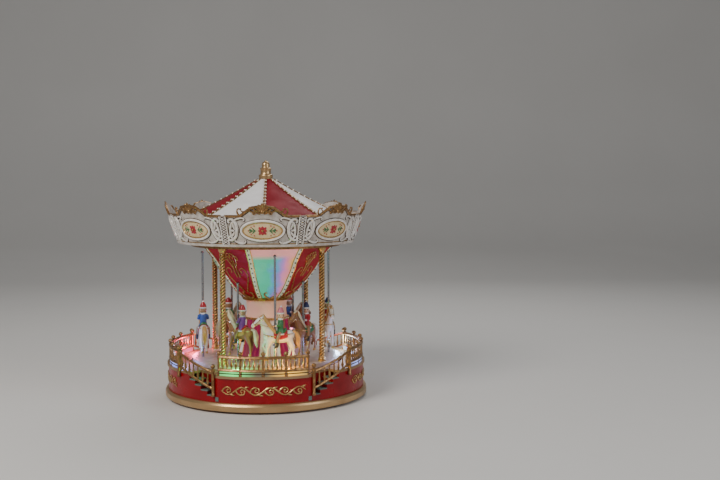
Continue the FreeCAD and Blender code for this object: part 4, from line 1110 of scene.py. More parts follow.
class CAROUSEL_OT_centre(bpy.types.Operator):
    """Dress the flared centre with drapes, scrolls, borders and bulbs"""

    bl_idname = "carousel.centre"
    bl_label = "Centre"

    def execute(self, context):
        node_finish(picture_paint(), "core_picture_panels")
        node_finish(look("panel_red"), "core_red_panels")
        node_finish(look("strip_white"), "core_ribs")
        scrolls = Form().add_turned([panel_scrolls()], ROTOR_PHASE + PITCH, PANELS // 2, 2 * PITCH)
        scrolls.add_turned([panel_border()], ROTOR_PHASE)
        new_piece("centre_scrolls", scrolls, "rotor", ())
        new_piece("strip_bulbs", rib_bulbs(), "rotor", ())
        new_piece("skirt_drapes", draped_skirt(), "rotor", ["core_skirt"])
        new_piece("scrolled_waist", waist_form(), "rotor", ["waist_band"])
        return {"FINISHED"}


# Canopy

OVAL_HEIGHT = 209.0
OVAL_WIDE = 24.5
OVAL_TALL = 11.4
OVAL_POINTS = 48
PANEL_HALF = 44.4
CREST_SHOULDER = 26.5
# Growth, radius, stand-off and finish of the rings round an oval; the outer dark ring is wash and painted
# shade round the frame
OVAL_RINGS = (((1.5, 1.4), 0.8, 0.2, "groove_bronze"), ((0.0, 0.0), 1.5, 0.9, "ivory_edge"),
              ((-2.2, -2.0), 0.75, 1.3, "leaf_gold"))
# Share and stand-off of the rings of the domed plate inside them
OVAL_DOME = ((1.0, 0.0), (1.0, 1.1), (0.8, 1.5), (0.45, 1.8), (0.02, 1.9))
# Stand-off of the flower with its berries, of its heart and of its leaves
FLOWER_LIFT = 1.9
HEART_LIFT = 2.4
SPRIG_LIFT = 1.7
# Reach and thickness along a petal
PETAL_LINE = ((0.8, 0.5), (2.4, 1.3), (4.0, 1.7), (5.2, 1.2), (6.0, 0.3))
# Heading, start and length of the leaves beside the flower, and places of the berries
SPRIG_LEAVES = ((0, 7.0, 8.5), (38, 8.0, 5.0), (-38, 8.0, 5.0), (30, 11.5, 4.2), (-30, 11.5, 4.2))
BERRIES = ((13.0, 4.2), (13.0, -4.2), (16.2, 0.0), (9.5, 5.6), (9.5, -5.6))
# Middle, heading, length, bend, curl and thickness of the scrolls beside an oval
SIDE_SCROLLS = (
    ((29.6, 0.5), 270, 46.0, 0.05, 0.72, 2.0), ((37.4, 1.0), 92, 30.0, 0.03, 0.9, 1.5),
    ((27.0, -14.0), 14, 20.0, 0.05, 1.15, 1.2), ((27.5, 14.2), 166, 18.0, 0.05, 1.2, 1.2),
)
# Start, heading and length of the leaves among them
SIDE_LEAVES = (((32.0, 1.0), 62, 8.0), ((32.0, -1.0), -62, 8.0), ((32.4, 0.0), 0, 4.5))
# Start, end and shares of the crest's height of its gentle and its steep slope
CREST_SLOPES = ((0.0, 13.0, 0.82, 0.68), (13.0, CREST_SHOULDER, 0.68, 0.0))
LATTICE_CROSSINGS = 10
LATTICE_HALF = 2.6
LATTICE_REACH = 15.0
# Across and stand-off of the corners of the strip behind the lattice
LATTICE_BED = ((-3.4, RELIEF - 0.4), (3.4, RELIEF - 0.4), (3.4, RELIEF + 0.15), (-3.4, RELIEF + 0.15))
BED_REACH = 16.0
BED_EDGE = 3.7
CURL_PLACE = 26.0
CREST_BACK = -1.6
CREST_FACE = 0.05
# Height above the cornice's foot and radius of the lines round it
FOOT_LINES = ((0.9, 1.0), (3.6, 0.55))
# Heading, share of the height and thickness of a palmette's lobes
LOBES = ((90, 1.0, 2.1), (64, 0.97, 1.9), (116, 0.97, 1.9), (38, 0.95, 1.7), (142, 0.95, 1.7),
         (10, 0.95, 1.5), (170, 0.95, 1.5))
LOBE_SWELL = (0.45, 0.6, 0.72, 0.85, 0.95, 1.0, 0.95, 0.7, 0.25)
CREST_FOOT = CORNICE_HEAD - OVAL_HEIGHT + 4.5
# Start, heading, length, bend, curl and thickness of the volutes beside a palmette
VOLUTES = (
    ((2.0, CREST_FOOT - 2.0), 24, 20.0, -0.05, 0.95, 1.4),
    ((12.5, CREST_FOOT + 5.0), 200, 13.0, 0.1, 1.0, 1.2),
    ((14.0, CREST_FOOT + 2.5), -30, 13.0, 0.04, 0.6, 1.2),
)


def on_cornice(u, v, w):
    """Point on the leaning cornice panel at the front: along it, above the oval's centre, and out."""
    z = OVAL_HEIGHT + v
    radius = CORNICE_FOOT_RADIUS + LEAN * (z - CORNICE_FOOT) + w
    return polar(radius, math.degrees(u / radius), z)


def relief_line(form, line, radii, finish, lift, flat=0.8):
    form.add(sweep([on_cornice(u, v, lift) for u, v in line], radii, 6, flat, outward), finish)


def c_scroll(centre, heading, length, bend, curl):
    """Line curled at both ends whose middle lies at a point and runs along a heading."""
    turning = length * (0.75 * bend + 0.25 * curl)
    line = scroll_line((0.0, 0.0), heading - math.degrees(turning / 2), length, bend, curl, 36, True)
    middle = line[len(line) // 2]
    return [(u - middle[0] + centre[0], v - middle[1] + centre[1]) for u, v in line]


def leaf_radii(thick, count):
    return [thick * (0.25 + 0.75 * math.sin(math.pi * (k + 0.6) / (count + 0.4))) for k in range(count)]


def oval(wide, tall):
    return [(wide * math.cos(a), tall * math.sin(a)) for a in around(OVAL_POINTS)]


def oval_frame(grow, radius, lift, finish):
    """Ring round the oval, grown beyond its middle line or shrunk inside it."""
    line = oval(OVAL_WIDE + grow[0], OVAL_TALL + grow[1])
    return Form().add(closed_sweep([on_cornice(u, v, lift) for u, v in line], radius, 8), look(finish))


def oval_field():
    """Gently domed plate inside the frame."""
    line = oval(OVAL_WIDE - 1.6, OVAL_TALL - 1.4)
    rings = [[on_cornice(u * share, v * share, lift) for u, v in line] for share, lift in OVAL_DOME]
    return Form().add(loft(rings), look("cream_field"))


def rosette(first, size):
    """Four petals of a flower in the middle of the oval."""
    form = Form()
    for k in range(4):
        angle = math.radians(first + 90 * k)
        across, up = size * math.cos(angle), size * math.sin(angle)
        line = [(reach * across, reach * up) for reach, thick in PETAL_LINE]
        relief_line(form, line, [thick for reach, thick in PETAL_LINE], look("berry_red"), FLOWER_LIFT, 0.45)
    return form


def sprigs():
    """Leafy twigs either side of the flower."""
    form = Form()
    for side in SIDES:
        for heading, start, length in SPRIG_LEAVES:
            line = scroll_line((start, 0.0), heading, length, 0.0, -0.1 if heading < 0 else 0.1, 5)
            radii = leaf_radii(0.8, len(line))
            relief_line(form, mirrored(line, side), radii, look("leaf_green"), SPRIG_LIFT, 0.5)
    return form


def flower_heart():
    return Form().add(ball(on_cornice(0, 0, HEART_LIFT), 1.4, segments=10, rows=7), look("leaf_gold"))


def berries():
    form = Form()
    for u, v in BERRIES:
        for side in SIDES:
            form.add(bead(on_cornice(side * u, v, FLOWER_LIFT), 0.75), look("berry_red"))
    return form


def side_scrolls(finish, widen, lift, flat):
    """Scrolls and leaves of the relief either side of the oval; widened and flat, they are its dark edge of
    antique wash and painted shadow.
    """
    form = Form()
    lines = []
    for middle, heading, length, bend, curl, thick in SIDE_SCROLLS:
        line = c_scroll(middle, heading, length, bend, curl)
        swell = [math.sin(a) for a in spread(0.0, math.pi, len(line) - 1)]
        lines.append((line, [thick * (0.55 + 0.45 * s) for s in swell]))
    for start, heading, length in SIDE_LEAVES:
        line = scroll_line(start, heading, length, 0.03, 0.12, 6)
        lines.append((line, leaf_radii(1.35, len(line))))
    for side in SIDES:
        for line, radii in lines:
            relief_line(form, mirrored(line, side), [r + widen for r in radii], look(finish), lift, flat)
    return form


def pilaster():
    """Crossed lattice with beads down the strip between two panels, made at the front."""
    form = Form()
    finish = look("antique_relief")
    heights = spread(-LATTICE_REACH, LATTICE_REACH, LATTICE_CROSSINGS)
    for sign in SIDES:
        line = [(sign * LATTICE_HALF * (1 if k % 2 else -1), v) for k, v in enumerate(heights)]
        relief_line(form, line, 0.65, finish, RELIEF + 0.1)
    for v in heights[:-1]:
        middle = v + LATTICE_REACH / LATTICE_CROSSINGS
        form.add(bead(on_cornice(0.0, middle, RELIEF + 0.3), 0.95), finish)
    return form


def pilaster_bed():
    """Dark strip behind the lattice: painted shade in its recess."""
    rings = [[on_cornice(u, v, w) for u, w in LATTICE_BED] for v in spread(-BED_REACH, BED_REACH, 4)]
    return Form().add(loft(rings), look("groove_bronze"))


def pilaster_edges():
    form = Form()
    for side in SIDES:
        line = [(side * BED_EDGE, v) for v in spread(-BED_REACH - 1.0, BED_REACH, 8)]
        relief_line(form, line, 0.75, look("ivory_edge"), RELIEF)
    return form


def crest_edge(u):
    """Height of a panel's top edge over the oval: level, then up a slope to the crest."""
    level = CORNICE_HEAD - OVAL_HEIGHT
    reach = CREST_TOP - CORNICE_HEAD
    for start, end, low, high in CREST_SLOPES:
        if abs(u) <= end:
            return level + reach * (low + (high - low) * (abs(u) - start) / (end - start))
    return level


def top_line(drop):
    """Line along the top of one panel and up over the crest, below its edge."""
    return [(u, crest_edge(u) - drop) for u in spread(-PANEL_HALF, PANEL_HALF, 60)]


def top_moulding():
    """Gold moulding along the top of one panel and up over the crest, with two curls."""
    form = Form()
    finish = look("rail_gold")
    relief_line(form, top_line(0.5), 1.5, finish, 0.3, 1.0)
    for side in SIDES:
        start = (side * CURL_PLACE, CORNICE_HEAD - OVAL_HEIGHT)
        curl = scroll_line(start, 90 - side * 50, 12.0, side * 0.1, side * 0.9, 16)
        relief_line(form, curl, tapered(curl, 1.3, 0.7), finish, 0.6, 0.9)
    return form


def moulding_line():
    """Dark line below the moulding: a painted shadow under it."""
    form = Form()
    relief_line(form, top_line(3.2), 0.6, look("groove_bronze"), 0.05, 0.6)
    return form


def crest_plate():
    """Ivory ground of the crest, under the moulding."""
    low = CORNICE_HEAD - OVAL_HEIGHT - 1.0
    rings = []
    for u in spread(-CREST_SHOULDER, CREST_SHOULDER, 30):
        top = crest_edge(u)
        outline = ((low, CREST_BACK), (low, CREST_FACE), (top, CREST_FACE), (top, CREST_BACK))
        rings.append([on_cornice(u, v, w) for v, w in outline])
    return Form().add(loft(rings), look("ivory_ground"))


def crest():
    """Palmette of seven lobes at the top of one crest, with volutes at each side."""
    form = Form()
    finish = look("rail_gold")
    reach = CREST_TOP - OVAL_HEIGHT - CREST_FOOT
    for angle, share, thick in LOBES:
        lean = (angle > 90) - (angle < 90)
        line = scroll_line((0.0, CREST_FOOT), angle, reach * share, 0.0, lean * 0.1, 8)
        relief_line(form, line, [thick * t for t in LOBE_SWELL], finish, 0.6, 0.6)
    for side in SIDES:
        for start, heading, length, bend, curl, thick in VOLUTES:
            line = mirrored(scroll_line(start, heading, length, bend, curl, 20), side)
            relief_line(form, line, tapered(line, thick, thick * 0.5), finish, 0.7, 0.8)
            form.add(bead(on_cornice(*line[-1], 0.8), thick * 0.8), finish)
    form.add(ball(on_cornice(0.0, CREST_FOOT, 1.0), 2.2, (1, 0.7, 1)), finish)
    return form


def cornice_lines():
    """Gold lines round the foot of the cornice."""
    form = Form()
    for up, radius in FOOT_LINES:
        reach = CORNICE_FOOT_RADIUS + LEAN * up + 0.1
        line = [polar(reach, k * 3.0, CORNICE_FOOT + up) for k in range(120)]
        form.add(closed_sweep(line, radius), look("leaf_gold"))
    return form


class CAROUSEL_OT_cornice(bpy.types.Operator):
    """Build the relief of the cornice: ovals, scrolls, pilasters, mouldings and crests"""

    bl_idname = "carousel.cornice"
    bl_label = "Cornice"

    def execute(self, context):
        node_finish(look("ivory_ground"), "cornice")
        ovals = Form().add_turned((
            *(oval_frame(*ring) for ring in OVAL_RINGS), oval_field(), rosette(45.0, 1.0),
            rosette(0.0, 0.85), sprigs(), berries(), flower_heart()))
        new_piece("framed_ovals", ovals, "base", ["medallions"])
        relief = Form().add_turned((
            # The widened dark copy is antique wash and painted shadow under the scrolls
            side_scrolls("antique_relief", 0.0, 0.6, 0.9), side_scrolls("groove_bronze", 0.95, 0.0, 0.3)))
        relief.add_turned((pilaster(), pilaster_bed(), pilaster_edges()), PITCH / 2)
        new_piece("cornice_relief", relief, "base", ())
        new_piece("cornice_gold", cornice_lines(), "base", ())
        crests = Form().add_turned((crest_plate(), crest(), top_moulding(), moulding_line()))
        new_piece("palmette_crests", crests, "base", ["crests"])
        return {"FINISHED"}


ROOF_EDGE = 100.0
ROOF_EDGE_HEIGHT = 220.5
ROOF_COLLAR = 8.0
ROOF_APEX = 268.0
ROOF_SAG = 2.0
RIB_STEPS = 16
# Half width of a rib at the finial, what it gains toward the edge, and shares of it with their heights
RIB_HALF = 1.1
RIB_GAIN = 1.1
RIB_SECTION = ((-1.0, -0.6), (1.0, -0.6), (1.0, 0.9), (0.6, 1.5), (-0.6, 1.5), (-1.0, 0.9))
# Height of the studs over the roof, their distance from the middle at the finial, and what that gains
STUD_LIFT = 1.3
STUD_ASIDE = 0.7
STUD_GAIN = 1.25
# Radius and share of the finial's height
FINIAL_PROFILE = (
    (8.2, 0.0), (8.6, 0.2), (8.8, 0.24), (8.4, 0.28), (6.9, 0.31), (6.4, 0.36), (6.5, 0.54), (7.0, 0.57),
    (7.0, 0.6), (6.3, 0.62), (5.0, 0.64), (4.7, 0.68), (4.9, 0.76), (4.6, 0.84), (3.6, 0.9), (2.0, 0.94),
    (1.4, 0.955), (1.3, 0.975), (0.8, 0.995), (0.02, 1.0),
)


def roof_point(share, lift, across):
    """Point on the roof's front rib line, from the finial down to the edge."""
    radius = ROOF_COLLAR + (ROOF_EDGE - ROOF_COLLAR) * share
    z = ROOF_APEX + (ROOF_EDGE_HEIGHT - ROOF_APEX) * share - ROOF_SAG * 4 * share * (1 - share)
    return Vector((across, -radius, z + lift))


def rib_form():
    """Flat-backed rib from the finial to the edge."""
    rings = []
    for share in spread(0.02, 1.0, RIB_STEPS):
        half = RIB_HALF + RIB_GAIN * share
        rings.append([roof_point(share, up, half * aside) for aside, up in RIB_SECTION])
    return Form().add(loft(rings), look("rail_gold"))


def rib_studs():
    """Studs along both edges of a rib."""
    form = Form()
    finish = look("stud_pearl")
    for side in SIDES:
        line = [roof_point(share, STUD_LIFT, side * (STUD_ASIDE + STUD_GAIN * share))
                for share in spread(0.06, 0.98, RIB_STEPS)]
        form.add_mesh(beads(line, sizes().studs_per_rib, sizes().stud_radius, finish), finish)
    return form


def finial_form():
    """Stepped gold finial: a flange, a collar and a domed knob with a small tip."""
    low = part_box("finial")[0].z / MM
    profile = [(radius, low + (FINIAL_TOP - low) * up) for radius, up in FINIAL_PROFILE]
    return Form().add(lathe(profile, 40), look("ring_gold"))


class CAROUSEL_OT_roof(bpy.types.Operator):
    """Build the ribs, studs and finial of the tent roof and paint its panels"""

    bl_idname = "carousel.roof"
    bl_label = "Roof"

    def execute(self, context):
        node_finish(look("tent_red"), "roof_red_panels")
        node_finish(look("tent_white"), "roof_white_panels")
        node_finish(look("ivory_edge"), "canopy_soffit")
        ribs = Form().add_turned((rib_form(), rib_studs()))
        new_piece("studded_ribs", ribs, "base", ["roof_ribs"])
        new_piece("stepped_finial", finial_form(), "base", ["finial"])
        return {"FINISHED"}


# Horses and riders, made in a frame with +X forward and its origin at the middle of the horse's body

BODY_HEIGHT = 82.0
POLE_PLACE = 4.0
POLE_RADIUS = 1.35
POLE_BALL = 2.0
SKIN_GRAIN = 0.75
OUTER_CIRCLE = 79.0
INNER_CIRCLE = 56.0
HEAD_TURN = 42.0
HEAD_PIVOT = Vector((-2.4, 0.0, 0.0))
# Stations of the horse as (x, z, half height, half width), and top, knee, hoof and side of each leg
TRUNK = ((-18.2, -0.5, 1.2, 1.2), (-17.2, 0.3, 4.6, 3.9), (-14.0, 0.9, 6.9, 5.5), (-9.0, 0.6, 7.3, 6.0),
         (-3.0, -0.4, 6.7, 5.7), (3.0, -0.6, 6.8, 5.7), (8.0, 0.2, 7.3, 5.8), (12.0, 1.2, 7.0, 5.2),
         (15.6, 2.4, 5.2, 4.1), (17.4, 3.2, 2.0, 1.8))
NECK = ((8.0, 2.0, 7.0, 4.3), (12.0, 7.0, 6.0, 3.6), (15.5, 12.5, 4.9, 3.1), (18.2, 17.5, 4.2, 2.7),
        (20.2, 21.3, 3.5, 2.5), (21.2, 23.2, 1.8, 1.6))
HEAD = ((17.6, 23.3, 1.2, 1.2), (19.0, 22.4, 3.1, 2.5), (21.8, 20.6, 3.9, 2.9), (25.0, 18.2, 3.2, 2.4),
        (28.0, 15.9, 2.4, 2.0), (30.2, 14.2, 2.5, 2.2), (31.6, 13.1, 1.4, 1.3))
LEGS = ((11.0, -2.0, 18.0, -10.0, 13.0, -20.0, -3.0), (11.0, -2.0, 14.0, -14.0, 15.0, -27.0, 3.0),
        (-12.0, -2.0, -15.0, -14.0, -12.0, -27.0, -3.0), (-12.0, -2.0, -17.0, -13.0, -17.0, -26.0, 3.0))
# Ovals of the rider's coat as (z, half length, half width), and of the cap with their x
COAT = ((3.2, 5.2, 6.3), (5.0, 5.0, 6.0), (8.5, 3.9, 4.5), (11.0, 3.5, 4.0), (15.0, 3.6, 4.4),
        (18.6, 3.4, 4.5), (20.6, 2.6, 3.4), (22.0, 1.6, 1.8))
CAP = ((-2.4, 27.8, 4.2, 4.1), (-2.4, 29.6, 4.2, 4.1), (-2.5, 32.0, 3.4, 3.3), (-2.8, 34.2, 2.2, 2.1),
       (-3.1, 35.6, 1.1, 1.1))


def limb(stations, y=0.0, sides=14):
    """Rounded form through (x, z, half height, half width) stations, cut across its own line."""
    rings = []
    last = len(stations) - 1
    for k, (x, z, tall, wide) in enumerate(stations):
        ahead, behind = stations[min(k + 1, last)], stations[max(k - 1, 0)]
        along = Vector((ahead[0] - behind[0], 0.0, ahead[1] - behind[1])).normalized()
        up = Vector((-along.z, 0.0, along.x))
        rings.append([Vector((x, y, z)) + up * (tall * math.sin(a)) + Vector((0, wide * math.cos(a), 0))
                      for a in around(sides)])
    return loft(rings)


def stack(stations, sides=16):
    """Upright form through level ovals given as (x, z, half length, half width)."""
    return loft([[Vector((x + a * math.cos(t), b * math.sin(t), z)) for t in around(sides)]
                 for x, z, a, b in stations])


def level_ring(x, z, a, b, radius):
    return closed_sweep([(x + a * math.cos(t), b * math.sin(t), z) for t in around(20)], radius, 8)


def between(stations, x):
    """Height and half sizes of a form at a place along it."""
    for low, high in zip(stations, stations[1:]):
        if x <= high[0]:
            share = (x - low[0]) / (high[0] - low[0])
            return [p + (q - p) * share for p, q in zip(low[1:], high[1:])]
    return list(stations[-1][1:])


def wrap(start, end, reach, thick, drop=0.0):
    """Cloth over the horse's back, reaching down by an angle on both sides."""
    rings = []
    for share in spread(0.0, 1.0, 8):
        x = start + (end - start) * share
        z, tall, wide = between(TRUNK, x)
        edge = math.radians(reach + drop * math.sin(math.pi * share))
        arc = spread(-edge, edge, 16)
        rings.append([Vector((x, (wide + out) * math.sin(a), z + (tall + out) * math.cos(a)))
                      for out, angles in ((thick, arc), (-0.8, arc[::-1])) for a in angles])
    return loft(rings)


def leg(top_x, top_z, knee_x, knee_z, hoof_x, hoof_z, y):
    """Thigh, knee and shin of one leg, down to the hoof."""
    return limb([(top_x, top_z + 3, 3.5, 2.0), (top_x, top_z, 4.6, 2.7),
                 ((top_x + knee_x) / 2, (top_z + knee_z) / 2, 3.2, 2.3), (knee_x, knee_z, 1.9, 1.7),
                 (knee_x + (hoof_x - knee_x) * 0.5, knee_z + (hoof_z - knee_z) * 0.5, 1.4, 1.3),
                 (hoof_x, hoof_z + 3.4, 1.6, 1.5), (hoof_x + 0.6, hoof_z + 1.5, 1.5, 1.4)], y)


def hide():
    """Horse without its trappings, melted into one smooth skin."""
    shapes = [limb(TRUNK, sides=20), limb(NECK), limb(HEAD), ball((22.2, 0.0, 18.6), 3.0, (1, 0.85, 1)),
              ball((30.4, 0.0, 13.6), 2.0)]
    shapes += [leg(*places) for places in LEGS]
    for side in SIDES:
        shapes.append(sweep([(18.4, 1.7 * side, 23.5), (18.2, 2.0 * side, 26.2), (17.7, 1.9 * side, 29.0)],
                            (1.2, 1.05, 0.25), 8))
    form = Form()
    for shape in shapes:
        form.add(shape, look("natural_moulding"))
    skin = linked("hide", new_mesh("hide", form, merged=False))
    melt = skin.modifiers.new("melt", "REMESH")
    melt.mode = "VOXEL"
    melt.voxel_size = SKIN_GRAIN * MM
    soft = skin.modifiers.new("soft", "SMOOTH")
    soft.iterations = 6
    soft.factor = 0.5
    return mesh_shape(settled(skin))


# Aside, back and up of the strands of the tail
TAIL_STRANDS = ((0, 0, 0), (1.1, -0.8, 1.5), (-1.1, -0.8, 1.0), (0.6, 1.3, 2.5), (-0.6, 1.5, 3.0))


def hair():
    """Locks of the mane, the forelock and the strands of the tail."""
    shapes = []
    for share in spread(0.0, 1.0, 8):
        x, z = 19.2 - 11.0 * share, 25.6 - 15.6 * share
        for side in SIDES:
            points = [(x + 1.2, 0.3 * side, z - 0.6), (x - 1.4, 1.2 * side, z + 0.9),
                      (x - 3.0, 2.4 * side, z - 1.6), (x - 2.6 - share, (3.1 + share) * side, z - 5.0),
                      (x - 3.6 - share, (3.2 + share) * side, z - 7.6)]
            shapes.append(sweep(points, (0.7, 1.5, 1.5, 1.1, 0.25), 7))
    forelock = [(18.2, 0, 25.8), (20.4, 0, 25.4), (22.4, 0.5, 23.6), (23.4, 0.8, 21.6)]
    shapes.append(sweep(forelock, (0.9, 1.2, 0.9, 0.2), 7))
    for y, back, low in TAIL_STRANDS:
        points = [(-15.0, 0.4 * y, 4.2), (-18.5, 0.6 * y, 6.2), (-21.6 + back * 0.5, 0.9 * y, 4.2),
                  (-23.8 + back, 1.1 * y, -2.0), (-23.4 + back, 1.0 * y, -8.0),
                  (-24.4 + back, 0.6 * y, -15.5 + low)]
        shapes.append(sweep(points, (1.0, 1.5, 1.7, 1.7, 1.4, 0.25), 8))
    return shapes


def hooves():
    shapes = []
    for *_, hoof_x, hoof_z, y in LEGS:
        verts, faces = stack([(hoof_x + 1.0, hoof_z, 2.1, 1.8), (hoof_x + 0.9, hoof_z + 0.5, 2.15, 1.85),
                              (hoof_x + 0.5, hoof_z + 2.8, 1.7, 1.6)], 12)
        shapes.append(([v + Vector((0, y, 0)) for v in verts], faces))
    return shapes


# Points on one side and radius of the breast strap, the crupper, the rein and the cheek strap
STRAPS = (
    (((3.0, 6.0, 1.2), (8.0, 6.1, 1.8), (12.5, 5.3, 2.6), (15.8, 3.6, 3.2), (17.6, 0.0, 3.4)), 0.55),
    (((-8.0, 5.9, 3.2), (-12.0, 5.6, 3.8), (-16.0, 3.6, 4.0), (-17.6, 0.6, 3.8)), 0.5),
    (((28.6, 2.3, 14.8), (24.0, 2.9, 16.5), (14.0, 4.6, 13.5), (4.6, 2.4, 13.2)), 0.35),
    (((28.4, 2.3, 15.6), (24.8, 2.7, 18.4), (20.6, 2.8, 21.6), (18.0, 2.2, 24.0)), 0.4),
)


def straps():
    """Straps of the harness with studs, and the bands of the bridle."""
    shapes = []
    for side in SIDES:
        for points, radius in STRAPS:
            shapes.append(sweep([(x, y * side, z) for x, y, z in points], radius))
        for x in (6.0, 9.5, 13.0):
            wide = between(TRUNK, x)[2]
            shapes.append(bead((x, (wide + 0.3) * side, 1.9), 0.85))
    for x, z, tall, wide in ((28.4, 15.6, 2.6, 2.25), (20.6, 21.4, 3.6, 2.75)):
        ring = [(x + tall * math.sin(a) * 0.62, wide * math.cos(a), z + tall * math.sin(a) * 0.78)
                for a in around(16)]
        shapes.append(closed_sweep(ring, 0.42))
    return shapes


def head_shapes(shapes):
    """Turns shapes of the rider's head toward the outside."""
    turn = Quaternion((0, 0, 1), math.radians(HEAD_TURN))
    return [([turn @ (Vector(v) - HEAD_PIVOT) + HEAD_PIVOT for v in verts], faces)
            for verts, faces in shapes]


def face_point(angle, z, radius):
    a = math.radians(angle)
    return (HEAD_PIVOT.x + radius * math.cos(a), radius * math.sin(a), z)


def figure_parts():
    """Shapes of one horse and rider as a list of (role, shapes)."""
    coat = [stack([(-2.5, *station) for station in COAT])]
    trim = [level_ring(-2.5, 3.8, 5.2, 6.2, 0.9), level_ring(-2.5, 21.2, 2.2, 2.6, 1.1),
            sweep([(1.2, 0.0, 19.5), (1.3, 0.0, 13.0), (1.9, 0.0, 8.0), (2.8, 0.0, 4.0)], 0.6, 8)]
    hands, trousers, boots = [], [], []
    for side in SIDES:
        coat.append(sweep([(-2.5, 3.4 * side, 19.6), (-2.2, 5.0 * side, 18.0), (-0.6, 5.9 * side, 14.6),
                           (2.6, 3.6 * side, 13.6)], (1.4, 1.8, 1.6, 1.25), 10))
        trim.append(knob((2.7, 3.5 * side, 13.6), 1.45))
        hands.append(knob((3.9, 2.4 * side, 13.5), 1.15))
        trousers.append(sweep([(-1.6, 3.6 * side, 5.2), (0.6, 6.0 * side, 2.2), (2.4, 7.0 * side, -2.6),
                               (2.2, 7.2 * side, -7.0)], (2.3, 2.4, 1.9, 1.5), 10))
        boots.append(sweep([(2.2, 7.2 * side, -5.4), (2.2, 7.2 * side, -8.6), (2.6, 7.2 * side, -10.4)],
                           (1.75, 1.6, 1.5), 10))
        boots.append(knob((3.7, 7.2 * side, -10.6), 1.5, (1.7, 1.0, 0.85)))
    skin = hands + head_shapes([ball((-2.2, 0.0, 25.4), 3.8, (1.0, 0.98, 1.08), 16, 12),
                                bead(face_point(0, 25.0, 3.95), 0.55)])
    eyes = head_shapes([bead(face_point(side * 22, 26.0, 3.72), 0.58, (1, 1, 1.15)) for side in SIDES])
    eyes += [bead((22.8, 2.75 * side, 20.9), 0.62) for side in SIDES]
    eyes += [bead((30.9, 1.5 * side, 14.4), 0.4) for side in SIDES]
    blush = [bead(face_point(side * 38, 24.4, 3.55), 0.75, (0.7, 0.7, 0.8)) for side in SIDES]
    blush = head_shapes([*blush, bead(face_point(0, 23.4, 3.55), 0.6, (0.5, 1.1, 0.45))])
    curls = head_shapes([ball((-3.1, 0.0, 25.6), 3.9, (0.95, 1.02, 1.1), 14, 10),
                         knob((-3.0, 3.2, 23.6), 1.7), knob((-3.0, -3.2, 23.6), 1.7)])
    cap = [stack(CAP)]
    trim += [level_ring(-2.4, 28.2, 3.9, 3.8, 0.95), knob((-3.2, 0.0, 35.6), 1.35)]
    saddle = [wrap(-7.5, 4.0, 46.0, 1.6), ball((-8.2, 0, 8.6), 2.4, (0.7, 1.7, 1.0))]
    return (("hide", [hide()]), ("hair", hair()), ("hoof", hooves()), ("strap", straps()),
            ("cloth", [wrap(-10.0, 6.5, 92.0, 0.55, 14.0)]), ("saddle", saddle), ("coat", coat),
            ("trim", trim), ("trousers", trousers), ("boots", boots), ("skin", skin), ("eyes", eyes),
            ("blush", blush), ("curls", curls), ("cap", cap))


GLOSS_SHADE = 0.55
PAINTS = {
    "cream": (0.8, 0.76, 0.68), "brown": (0.3, 0.13, 0.05), "gold_hair": (0.55, 0.3, 0.09),
    "pale_hair": (0.7, 0.6, 0.42), "red": (0.45, 0.015, 0.025), "green": (0.03, 0.17, 0.06),
    "blue": (0.04, 0.1, 0.36), "navy": (0.015, 0.03, 0.12), "purple": (0.2, 0.05, 0.3),
    "ochre": (0.5, 0.3, 0.07), "rose": (0.6, 0.16, 0.2), "snow": (0.82, 0.8, 0.78),
    "black": (0.02, 0.018, 0.018), "skin": (0.75, 0.45, 0.3), "blush": (0.65, 0.14, 0.12),
    "fawn": (0.34, 0.2, 0.1),
}
# Paints of what all figures share, of the two kinds of horse, and of what differs from one to the next
SHARED_PAINTS = {"trim": "snow", "trousers": "fawn", "boots": "black", "skin": "skin", "eyes": "black",
                 "blush": "blush", "curls": "fawn", "hoof": "ochre"}
HORSE_PAINTS = ({"hide": "cream", "hair": "gold_hair"}, {"hide": "brown", "hair": "pale_hair"})
DRESSED = ("cloth", "saddle", "coat", "cap")
DRESSES = (
    ("red", "green", "green", "rose"), ("green", "ochre", "red", "navy"), ("green", "red", "red", "navy"),
    ("red", "ochre", "blue", "red"), ("blue", "red", "purple", "green"), ("green", "ochre", "green", "red"),
    ("red", "green", "blue", "red"), ("ochre", "red", "purple", "red"),
)


def gloss_paint(name):
    colour = PAINTS[name]
    darker = tuple(c * GLOSS_SHADE for c in colour)
    return painted("paint_" + name, colour, darker, 160, 0.6, 0.28, 0.45, coat=0.15, bump=0.05)


def figure_finish(role, index):
    """Paint of one part of a figure."""
    if role == "strap":
        return look("leaf_gold")
    paints = {**SHARED_PAINTS, **HORSE_PAINTS[index % 2], **dict(zip(DRESSED, DRESSES[index]))}
    return gloss_paint(paints[role])


def placed_figure(shape, index):
    """Shape moved from the figure's frame to its place on the turntable."""
    radius = OUTER_CIRCLE if index % 2 == 0 else INNER_CIRCLE
    turn = Quaternion((0, 0, 1), math.radians(ROTOR_PHASE + 360.0 * index / HORSE_COUNT))
    verts, faces = shape
    return [turn @ Vector((POLE_PLACE - v[0], -radius - v[1], v[2] + BODY_HEIGHT)) for v in verts], faces


def pole_form(name):
    """Round rod with a ball on top, as tall as its node."""
    low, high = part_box(name)
    middle = (low + high) / (2 * MM)
    top = high.z / MM
    neck = top - 2 * POLE_BALL + 0.4
    profile = [(POLE_RADIUS, low.z / MM), (POLE_RADIUS, neck), *ball_top(POLE_BALL, top)]
    return Form().add(lathe(profile, 16, middle.xy), look("pole_steel"))


